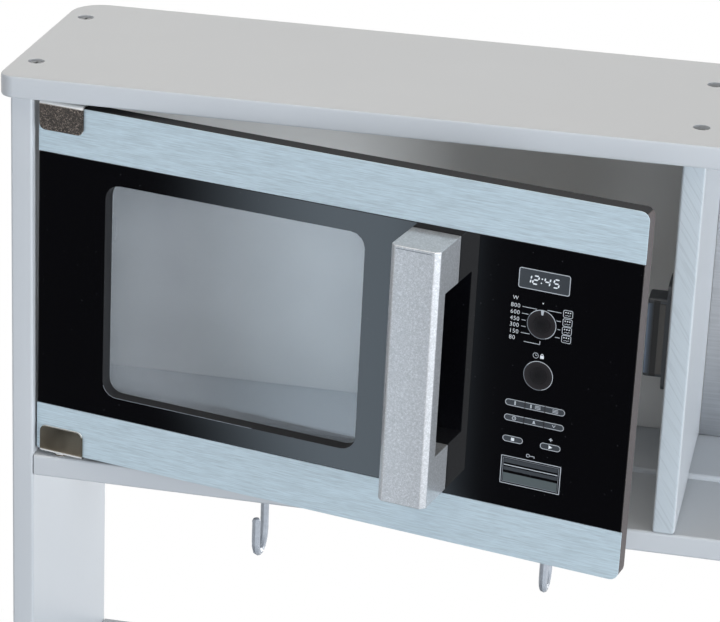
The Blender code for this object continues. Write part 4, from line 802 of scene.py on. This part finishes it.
class KITCHEN_OT_doors(KitchenStep):
    """Finishes the black doors with their strips and panes"""
    bl_idname = "kitchen.doors"
    bl_label = "Doors"

    def execute(self, context):
        for door in ("microwave", "oven"):
            dress([f"{door}_door"], f"{door}_gloss", DOOR_EDGE)
            dress([f"{door}_strip_top", f"{door}_strip_bottom"], f"{door}_strip", FINE_EDGE)
            dress([f"{door}_pane"], "acrylic", FINE_EDGE)
            # a clear sheet lets the lamps through to the bay behind it
            NODES[f"{door}_pane"].visible_shadow = False
        # Painted highlight: a thin light line along the window cut's lower left arris, where it would catch
        # the light
        steps = 6
        bend = [(WINDOW_LEFT + WINDOW_CORNER * (1 - math.cos(turn)),
                 WINDOW_FOOT - WINDOW_CORNER * (1 - math.sin(turn)))
                for turn in (math.pi / 2 * step / steps for step in range(1, steps + 1))]
        end = WINDOW_LEFT + (WINDOW_RIGHT - WINDOW_LEFT) * WINDOW_HIGHLIGHT_SHARE
        drawn_line = bmesh.new()
        stroke(drawn_line, bend + [(end, WINDOW_FOOT)], WINDOW_HIGHLIGHT_WIDTH)
        press("window_painted_arris_highlight", drawn_line, "grey_ink_and_highlight")
        return {"FINISHED"}


class KITCHEN_OT_handles(KitchenStep):
    """Sprays the handles silver"""
    bl_idname = "kitchen.handles"
    bl_label = "Handles"

    def execute(self, context):
        dress(["microwave_handle", "oven_handle", "cupboard_handle"], "silver", HANDLE_EDGE)
        # A thin dark line under the handle's upper front edge
        drawn_line = bmesh.new()
        stroke(drawn_line, HANDLE_DARK_LINE, HANDLE_DARK_LINE_WIDTH)
        press("handle_dark_line", drawn_line, "grey_ink_and_highlight", face=HANDLE_FRONT)
        return {"FINISHED"}


class KITCHEN_OT_hinges(KitchenStep):
    """Plates the pins and bends the clips from sheet"""
    bl_idname = "kitchen.hinges"
    bl_label = "Clips and pins"

    def execute(self, context):
        dress(PINS, "nickel", PIN_EDGE)
        self.clip("microwave_clip_top", "nickel", 1)
        self.clip("microwave_clip_bottom", "polished_nickel", -1)
        return {"FINISHED"}

    def clip(self, node, finish, upward):
        """One clip: cut flat with rounded ends, then bent twice round the door's edge."""
        sizes = bpy.context.scene.kitchen_sizes
        to_door = DOOR_FRAME.inverted()
        places = [to_door @ vertex.co for vertex in NODES[node].data.vertices]
        low, high = (Vector([pick(place[axis] for place in places) for axis in range(3)])
                     for pick in (min, max))
        bend = sizes.clip_bend
        tall = high.z - low.z
        quarter = math.pi / 2 * bend
        straight = tall - bend
        across = 2 * (high.y - bend)
        whole = 2 * straight + 2 * quarter + across
        shape = bmesh.new()
        outline = round_box((low.x + high.x) / 2, whole / 2, high.x - low.x, whole, sizes.clip_corner, 6)
        flat = shape.faces.new([shape.verts.new((x, along, 0)) for x, along in outline])
        grown = bmesh.ops.extrude_face_region(shape, geom=[flat])["geom"]
        thick = [item for item in grown if isinstance(item, bmesh.types.BMVert)]
        bmesh.ops.translate(shape, verts=thick, vec=(0, 0, sizes.clip_sheet))
        rim = [edge for edge in shape.edges if all(corner.co.z == 0 for corner in edge.verts)]
        bmesh.ops.bevel(shape, geom=rim, offset=sizes.clip_sheet / 4, segments=2, affect="EDGES")
        steps = 8
        for start in (straight, straight + quarter + across):
            for step in range(steps + 1):
                bmesh.ops.bisect_plane(shape, geom=[*shape.verts, *shape.edges, *shape.faces],
                                       plane_co=(0, start + quarter * step / steps, 0), plane_no=(0, 1, 0))
        for vertex in shape.verts:
            along, inside = vertex.co.y, vertex.co.z
            side = 1 if along > whole / 2 else -1
            along = min(along, whole - along)
            if along < straight:
                y, z = inside, along
            elif along < straight + quarter:
                turn = (along - straight) / bend
                y, z = bend - (bend - inside) * math.cos(turn), straight + (bend - inside) * math.sin(turn)
            else:
                y, z = bend + along - straight - quarter, tall - inside
            vertex.co = (vertex.co.x, side * (high.y - y), low.z + z if upward > 0 else high.z - z)
        new_piece(node.replace("_clip", "_bent_clip"), shape, finish, "microwave_leaf", DOOR_FRAME,
                  [node])


class KITCHEN_OT_catch(KitchenStep):
    """Finishes the magnet catch and its striker"""
    bl_idname = "kitchen.catch"
    bl_label = "Catch"

    def execute(self, context):
        dress(["catch_body"], "catch")
        dress(["catch_striker"], "zinc", FINE_EDGE)
        return {"FINISHED"}


class KITCHEN_OT_hooks(KitchenStep):
    """Coats the hooks"""
    bl_idname = "kitchen.hooks"
    bl_label = "Hooks"

    def execute(self, context):
        dress([f"hook_{number}" for number in range(1, 5)], "hook", FINE_EDGE)
        return {"FINISHED"}


class KITCHEN_OT_screws(KitchenStep):
    """Plates the screws"""
    bl_idname = "kitchen.screws"
    bl_label = "Screws"

    def execute(self, context):
        dress([f"top_screw_{number}" for number in range(1, 7)], "zinc", FINE_EDGE)
        return {"FINISHED"}


class KITCHEN_OT_steelwork(KitchenStep):
    """Brushes the back sheet, the sink, the tap and the oven rack"""
    bl_idname = "kitchen.steelwork"
    bl_label = "Steelwork"

    def execute(self, context):
        dress(STEELWORK, "steel", FINE_EDGE)
        dress(["steel_back_sheet"], "sheet", FINE_EDGE)
        return {"FINISHED"}


class KITCHEN_OT_hob(KitchenStep):
    """Finishes the hob and the knobs"""
    bl_idname = "kitchen.hob"
    bl_label = "Hob and knobs"

    def execute(self, context):
        dress(["hob_plate"], "hob", FINE_EDGE)
        dress([f"knob_{number}" for number in range(1, 5)], "knob")
        return {"FINISHED"}


class KITCHEN_OT_knob_marks(KitchenStep):
    """Prints a scale round each knob and a pointer on it"""
    bl_idname = "kitchen.knob_marks"
    bl_label = "Knob marks"

    def execute(self, context):
        rail_low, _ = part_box("control_rail")
        scale = bmesh.new()
        for number, body in enumerate(("knob_a", "knob_b", "knob_c", "knob_d"), 1):
            low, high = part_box(f"knob_{number}")
            middle = (Vector(low) + Vector(high)) / 2
            for step in range(SCALE_STEPS):
                turn = math.radians(SCALE_TURN * (step / (SCALE_STEPS - 1) - 0.5))
                reach = SCALE_END if step in (0, SCALE_STEPS - 1) else SCALE_OUTSIDE
                stroke(scale, [(middle.x / MM + far * math.sin(turn), -far * math.cos(turn))
                               for far in (SCALE_INSIDE, reach)], SCALE_LINE)
            pointer = bmesh.new()
            stamp(pointer, round_box(*POINTER))
            new_piece(f"knob_{number}_pointer", raised(pointer), "ink_dark", body,
                      Matrix.Translation((middle.x, low[1] - PRINT_CLEAR * MM, middle.z)))
        new_piece("knob_scales", raised(scale), "grey_ink_and_highlight", "carcase",
                  Matrix.Translation((0, rail_low[1] - PRINT_CLEAR * MM, middle.z)))
        return {"FINISHED"}


class KITCHEN_OT_back_nails(KitchenStep):
    """Nails the back panels on, round their edges"""
    bl_idname = "kitchen.back_nails"
    bl_label = "Back nails"

    def execute(self, context):
        sizes = context.scene.kitchen_sizes
        margin = Vector((sizes.nail_in, 0, sizes.nail_in))
        nails = bmesh.new()
        for panel in BACKS:
            low, high = (Vector(corner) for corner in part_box(panel))
            low += margin
            high -= margin
            wide = round((high.x - low.x) / sizes.nail_apart)
            tall = max(2, round((high.z - low.z) / sizes.nail_apart))
            level = [(low.x + (high.x - low.x) * step / wide, z) for step in range(wide + 1)
                     for z in (low.z, high.z)]
            upright = [(x, low.z + (high.z - low.z) * step / tall) for step in range(1, tall)
                       for x in (low.x, high.x)]
            for x, z in level + upright:
                self.head(nails, Vector((x, high.y, z)), sizes.nail_head / 2)
        new_piece("back_nails", nails, "zinc", "carcase")
        return {"FINISHED"}

    def head(self, shape, place, radius, around=14):
        """One flat-domed nail head on the back panel."""
        profile_shares = ((1.0, 0.0), (0.96, 0.14), (0.72, 0.27), (0.36, 0.34))
        turns = [2 * math.pi * step / around for step in range(around)]
        rings = [[shape.verts.new(place + radius * Vector((share * math.cos(turn), rise,
                                                           share * math.sin(turn)))) for turn in turns]
                 for share, rise in profile_shares]
        for outer, inner in zip(rings, rings[1:]):
            for step in range(around):
                after = (step + 1) % around
                shape.faces.new((outer[step], outer[after], inner[after], inner[step]))
        shape.faces.new(rings[-1])
        shape.faces.new(rings[0][::-1])


class KITCHEN_OT_control_panel(KitchenStep):
    """Prints the clock, the dials and the keys on the microwave door"""
    bl_idname = "kitchen.control_panel"
    bl_label = "Control panel"

    def execute(self, context):
        line = context.scene.kitchen_sizes.line / MM
        rim = context.scene.kitchen_sizes.outline / MM
        marks = {name: bmesh.new() for name, _, _ in PRINTS}
        self.clock(marks, rim)
        self.power_dial(marks, line)
        self.timer_dial(marks, line)
        self.key_rows(marks, rim)
        self.key_signs(marks, line)
        self.single_keys(marks, rim)
        self.opening_bar(marks, line)
        for name, finish, layer in PRINTS:
            press("panel_print_" + name, marks[name], finish, layer)
        return {"FINISHED"}

    def clock(self, marks, rim):
        """The display with four seven-segment figures."""
        across, down, width, height, corner = CLOCK
        stamp(marks["fields"], round_box(across, down, width - rim, height - rim, corner))
        frame_line(marks["light"], *CLOCK, rim * CLOCK_RIM_SHARE)
        for figure, place in CLOCK_FIGURES:
            digit(marks["white"], figure, across + place, down)
        for rise in (-COLON_RISE, COLON_RISE):
            leaning = across + COLON_ACROSS - rise * FIGURE_LEAN
            stamp(marks["white"], disc(leaning, down + rise, COLON_DOT, 12))

    def dial(self, marks, across, down, radius):
        """One printed dial: a dark face with a ring that is light on its right side."""
        stamp(marks["dials"], disc(across, down, radius - DIAL_FACE_IN))
        outer = disc(across, down, radius)
        inner = disc(across, down, radius - DIAL_RING)
        count = len(outer)
        for index in range(count):
            after = (index + 1) % count
            turn = 2 * math.pi * (index + 0.5) / count
            lit = math.cos(turn + math.radians(DIAL_LIT_TURN)) > DIAL_LIT_COSINE
            stamp(marks["light" if lit else "grey"], (outer[index], outer[after], inner[after], inner[index]))

    def power_dial(self, marks, line):
        """The power dial with its numbers on the left and its programmes on the right."""
        across, down, radius = DIALS[0]
        self.dial(marks, *DIALS[0])
        stamp(marks["light"], moved(across, down - radius, POINT_MARK))
        stamp(marks["white"], disc(across, down - radius - DOT_OVER, DOT, 12))
        lettering(marks["white"], "W", *UNIT_PLACE, UNIT_H)
        for text, row, reach in POWERS:
            lettering(marks["white"], text, NUMBER_ACROSS, row, NUMBER_H)
            stroke(marks["light"], [(TICK_START, row), (reach, row)], line)
        lettering(marks["white"], *LAST_POWER, NUMBER_H)
        stroke(marks["light"], LAST_TICK, line)
        for row, start in PROGRAMMES:
            stroke(marks["light"], [(start, row), (PROGRAMME_TICK_END, row)], line)
            self.programme(marks, PROGRAMME_ACROSS, row, line)

    def programme(self, marks, across, down, line):
        """A programme's sign: a box with three dots over a wave."""
        frame_line(marks["light"], across, down, *PROGRAMME_BOX, line)
        for place in PROGRAMME_DOTS:
            stamp(marks["white"], disc(across + place, down - PROGRAMME_ROW, PROGRAMME_DOT, 10))
        wave = [(WAVE_W * (step / WAVE_STEPS - 0.5), PROGRAMME_ROW + WAVE_H * math.sin(step * math.pi / 2))
                for step in range(WAVE_STEPS + 1)]
        stroke(marks["light"], moved(across, down, wave), line * THIN_SHARE)

    def timer_dial(self, marks, line):
        """The plain dial with a clock and a lock over it."""
        self.dial(marks, *DIALS[1])
        across, down, radius = CLOCK_SIGN
        stamp(marks["light"], disc(*CLOCK_SIGN, 20), disc(across, down, radius - line * SIGN_SHARE, 20))
        stroke(marks["light"], CLOCK_SIGN_HANDS, line * THIN_SHARE)
        stamp(marks["white"], round_box(*LOCK_CASE, 2))
        across, down, width, height = LOCK_ARCH
        steps = 8
        arch = [(width * math.cos(turn), height * math.sin(turn))
                for turn in (math.pi * (1 + step / steps) for step in range(steps + 1))]
        stroke(marks["white"], moved(across, down, arch), line)

    def key_rows(self, marks, rim):
        """Two rows of three keys, each row one rounded bar with two gaps."""
        width = KEYS_RIGHT - KEYS_LEFT
        middle = (KEYS_LEFT + KEYS_RIGHT) / 2
        for top, foot in KEY_ROWS:
            down = (top + foot) / 2
            height = foot - top
            stamp(marks["fields"], round_box(middle, down, width - rim, height - rim,
                                             (height - rim) / 2 - 0.01))
            frame_line(marks["light"], middle, down, width, height, height / 2 - 0.01, rim)
            for share in (1 / 3, 2 / 3):
                across = KEYS_LEFT + width * share
                stroke(marks["gaps"], [(across, top - KEY_GAP_PAST), (across, foot + KEY_GAP_PAST)], KEY_GAP)

    def key_signs(self, marks, line):
        """The keys' plain signs: posts and bars above, a clock, a bell and a tick below."""
        light = marks["light"]
        third = (KEYS_RIGHT - KEYS_LEFT) / 3
        upper, lower = SIGN_ROWS
        for place in SIGN_POSTS:
            across = KEYS_LEFT + third * place
            stroke(light, [(across, upper - SIGN_POST_RISE), (across, upper + SIGN_POST_RISE)], SIGN_POST)
        for rise in SIGN_BAR_RISES:
            for ends in SIGN_BARS:
                stroke(light, [(KEYS_LEFT + third * place, upper + rise) for place in ends], line)
        first, second, last = ((KEYS_LEFT + third * place, lower) for place in (0.5, 1.5, 2.5))
        stamp(light, disc(*first, ROUND_SIGN, 18), disc(*first, ROUND_SIGN_IN, 18))
        stroke(light, moved(*first, ROUND_SIGN_HANDS), line * SIGN_SHARE)
        stamp(light, moved(*second, BELL))
        stroke(light, moved(*last, TICK_SIGN), line)

    def single_keys(self, marks, rim):
        """A stop and a start key with plain signs, and a plus over the second."""
        for across in (STOP_KEY, START_KEY):
            stamp(marks["fields"], round_box(across, KEYS_DOWN, SINGLE_KEY_W - rim, SINGLE_KEY_H - rim,
                                             SINGLE_KEY_CORNER))
            frame_line(marks["light"], across, KEYS_DOWN, SINGLE_KEY_W, SINGLE_KEY_H,
                       SINGLE_KEY_RIM_CORNER, rim)
        stamp(marks["white"], round_box(STOP_KEY, KEYS_DOWN, *STOP_SIGN, 2))
        stamp(marks["white"], moved(START_KEY, KEYS_DOWN, START_SIGN))
        across, down, half, width = PLUS_SIGN
        stroke(marks["light"], [(across, down - half), (across, down + half)], width)
        stroke(marks["light"], [(across - half, down), (across + half, down)], width)

    def opening_bar(self, marks, line):
        """The printed opening bar with a key over it."""
        across, down, radius = KEY_SIGN
        stamp(marks["light"], disc(*KEY_SIGN, 16), disc(across, down, radius - line, 16))
        stroke(marks["light"], KEY_SIGN_BLADE, line * BLADE_SHARE)
        middle = (BAR_LEFT + BAR_RIGHT) / 2
        down = (BAR_TOP + BAR_FOOT) / 2
        width = BAR_RIGHT - BAR_LEFT
        height = BAR_FOOT - BAR_TOP
        frame_line(marks["light"], middle, down, width, height, BAR_RIM_CORNER, BAR_RIM)
        frame_line(marks["grey"], middle, down, width - BAR_INNER_IN, height - BAR_INNER_IN, BAR_INNER_RIM,
                   BAR_INNER_RIM)
        for below, tall in BAR_FIELDS:
            stamp(marks["fields"], round_box(middle, BAR_TOP + below, width - BAR_FIELDS_IN, tall,
                                             SMALL_CORNER, 2))
        stroke(marks["light"], [(BAR_LEFT + BAR_LINE_IN, BAR_TOP + BAR_LINE_DOWN),
                                (BAR_RIGHT - BAR_LINE_IN, BAR_TOP + BAR_LINE_DOWN)], BAR_LINE)
        below, tall = BAR_BAND
        stamp(marks["band"], round_box(middle, BAR_TOP + below, width - BAR_FIELDS_IN, tall, SMALL_CORNER, 2))


def seen(tree):
    """1 for rays that show the background: straight, mirrored or let through."""
    path = add(tree, "LightPath", out=None).outputs
    first = add(tree, "Math", {0: path["Is Camera Ray"], 1: path["Is Glossy Ray"]}, operation="MAXIMUM")
    return add(tree, "Math", {0: first, 1: path["Is Transmission Ray"]}, operation="MAXIMUM")


def band(tree, angle, start, full, hold, end):
    """1 between two angles, given in degrees, fading to 0 on either side."""
    rise = add(tree, "MapRange", {"Value": angle, "From Min": math.radians(start),
                                  "From Max": math.radians(full)}, interpolation_type="SMOOTHSTEP")
    fall = add(tree, "MapRange", {"Value": angle, "From Min": math.radians(hold),
                                  "From Max": math.radians(end), "To Min": 1.0, "To Max": 0.0},
               interpolation_type="SMOOTHSTEP")
    return add(tree, "Math", {0: rise, 1: fall}, operation="MULTIPLY")


class KITCHEN_OT_stage(KitchenStep):
    """Sets the camera, the floor, the lamps and the world"""
    bl_idname = "kitchen.stage"
    bl_label = "Stage"

    def execute(self, context):
        self.camera(context)
        self.floor(context)
        self.world(context)
        self.lamps(context)
        context.scene.view_settings.view_transform = "Standard"
        return {"FINISHED"}

    def camera(self, context):
        """The photograph's viewpoint."""
        lens = bpy.data.cameras.new("camera")
        lens.lens = CAMERA_LENS
        lens.sensor_width = SENSOR
        lens.clip_start = CLIP_NEAR
        lens.clip_end = CLIP_FAR
        camera = bpy.data.objects.new("camera", lens)
        context.scene.collection.objects.link(camera)
        ahead = CAMERA_AHEAD.normalized()
        right = (CAMERA_RIGHT - ahead * CAMERA_RIGHT.dot(ahead)).normalized()
        turn = Matrix((right, right.cross(ahead), -ahead)).transposed()
        camera.matrix_world = Matrix.Translation(CAMERA_PLACE) @ turn.to_4x4()
        context.scene.camera = camera

    def floor(self, context):
        """A round pale floor that takes a soft shadow and fades out into the white behind it."""
        shape = bmesh.new()
        bmesh.ops.create_circle(shape, cap_ends=True, segments=96, radius=FLOOR_RADIUS)
        mesh = bpy.data.meshes.new("floor")
        shape.to_mesh(mesh)
        shape.free()
        disc_floor = bpy.data.objects.new("floor", mesh)
        context.scene.collection.objects.link(disc_floor)
        material = bpy.data.materials.new("matt_white_floor")
        material.use_nodes = True
        tree = material.node_tree
        tree.nodes.clear()
        plain = add(tree, "BsdfDiffuse", {"Color": [FLOOR_BOUNCE] * 3})
        pale = add(tree, "BsdfDiffuse", {"Color": [FLOOR_PALE] * 3})
        glow = add(tree, "Emission", {"Color": (1, 1, 1), "Strength": FLOOR_GLOW})
        white = add(tree, "Emission", {"Color": (1, 1, 1), "Strength": 1.0})
        out = add(tree, "VectorMath", {0: add(tree, "TexCoord", out="Object")}, out="Value",
                  operation="LENGTH")
        fade = add(tree, "MapRange", {"Value": out, "From Min": FLOOR_FADE[0], "From Max": FLOOR_FADE[1]},
                   interpolation_type="SMOOTHSTEP")
        shown = add(tree, "MixShader", {0: fade, 1: add(tree, "AddShader", {0: pale, 1: glow}), 2: white})
        mixed = add(tree, "MixShader", {0: seen(tree), 1: plain, 2: shown})
        add(tree, "OutputMaterial", {"Surface": mixed}, out=None, is_active_output=True)
        mesh.materials.append(material)

    def world(self, context):
        """White behind the kitchen and an even sky for light; mirrors see a dark corner of the studio low
        on the left, with one tall blue-white panel standing in it."""
        world = bpy.data.worlds.new("studio")
        context.scene.world = world
        world.use_nodes = True
        tree = world.node_tree
        tree.nodes.clear()
        way = add(tree, "SeparateXYZ", {0: add(tree, "TexCoord", out="Generated")}, out=None).outputs
        toward = add(tree, "Math", {0: way["Y"], 1: -1.0}, operation="MULTIPLY")
        bearing = add(tree, "Math", {0: way["X"], 1: toward}, operation="ARCTAN2")
        rise = add(tree, "Math", {0: way["Z"]}, operation="ARCSINE")
        low = band(tree, rise, *CORNER_UP)
        dark = add(tree, "Math", {0: band(tree, bearing, *CORNER_ROUND), 1: low}, operation="MULTIPLY")
        room = add(tree, "MapRange", {"Value": dark, "To Min": 1.0, "To Max": CORNER_STRENGTH})
        panel = add(tree, "Math", {0: band(tree, bearing, *PANEL_ROUND), 1: low}, operation="MULTIPLY")
        lit = add(tree, "Math", {0: panel, 1: PANEL_STRENGTH}, operation="MULTIPLY")
        even = add(tree, "Background", {"Color": linear(SKY), "Strength": SKY_STRENGTH})
        white = add(tree, "Background", {"Color": (1, 1, 1), "Strength": room})
        blue = add(tree, "Background", {"Color": linear(PANEL), "Strength": lit})
        mirrored = add(tree, "AddShader", {0: white, 1: blue})
        plain = add(tree, "Background", {"Color": (1, 1, 1), "Strength": 1.0})
        shown = add(tree, "MixShader", {0: add(tree, "LightPath", out="Is Glossy Ray"), 1: plain,
                                        2: mirrored})
        mixed = add(tree, "MixShader", {0: seen(tree), 1: even, 2: shown})
        add(tree, "OutputWorld", {"Surface": mixed}, out=None)

    def lamps(self, context):
        """Soft boxes: a warm one above, a cool one in front, one on each side and one behind."""
        for name, place, size, power, code in LAMPS:
            lamp = bpy.data.lights.new(name, "AREA")
            lamp.shape = "DISK"
            lamp.size = size
            lamp.energy = power
            lamp.color = linear(code)
            holder = bpy.data.objects.new(name, lamp)
            context.scene.collection.objects.link(holder)
            holder.location = place
            holder.rotation_euler = (LAMP_AIM - Vector(place)).to_track_quat("-Z", "Y").to_euler()


STEPS = (KITCHEN_OT_boards, KITCHEN_OT_doors, KITCHEN_OT_handles, KITCHEN_OT_hinges, KITCHEN_OT_catch,
         KITCHEN_OT_hooks, KITCHEN_OT_screws, KITCHEN_OT_steelwork, KITCHEN_OT_hob,
         KITCHEN_OT_knob_marks, KITCHEN_OT_back_nails, KITCHEN_OT_control_panel, KITCHEN_OT_stage)


class KITCHEN_PT_sidebar(bpy.types.Panel):
    """The kitchen's colours, sizes and steps"""
    bl_idname = "KITCHEN_PT_sidebar"
    bl_label = "Play kitchen"
    bl_space_type = "VIEW_3D"
    bl_region_type = "UI"
    bl_category = "Kitchen"

    def draw(self, context):
        for group in (context.scene.kitchen_colours, context.scene.kitchen_sizes):
            box = self.layout.box()
            for name in group.__annotations__:
                box.prop(group, name)
        for step in STEPS:
            self.layout.operator(step.bl_idname)


CLASSES = (KitchenColours, KitchenSizes, *STEPS, KITCHEN_PT_sidebar)


def register():
    for kind in CLASSES:
        bpy.utils.register_class(kind)
    bpy.types.Scene.kitchen_colours = PointerProperty(type=KitchenColours)
    bpy.types.Scene.kitchen_sizes = PointerProperty(type=KitchenSizes)


def unregister():
    del bpy.types.Scene.kitchen_sizes
    del bpy.types.Scene.kitchen_colours
    for kind in reversed(CLASSES):
        bpy.utils.unregister_class(kind)


def main():
    register()
    for step in STEPS:
        getattr(bpy.ops.kitchen, step.bl_idname.removeprefix("kitchen."))()


if __name__ == "__main__":
    main()
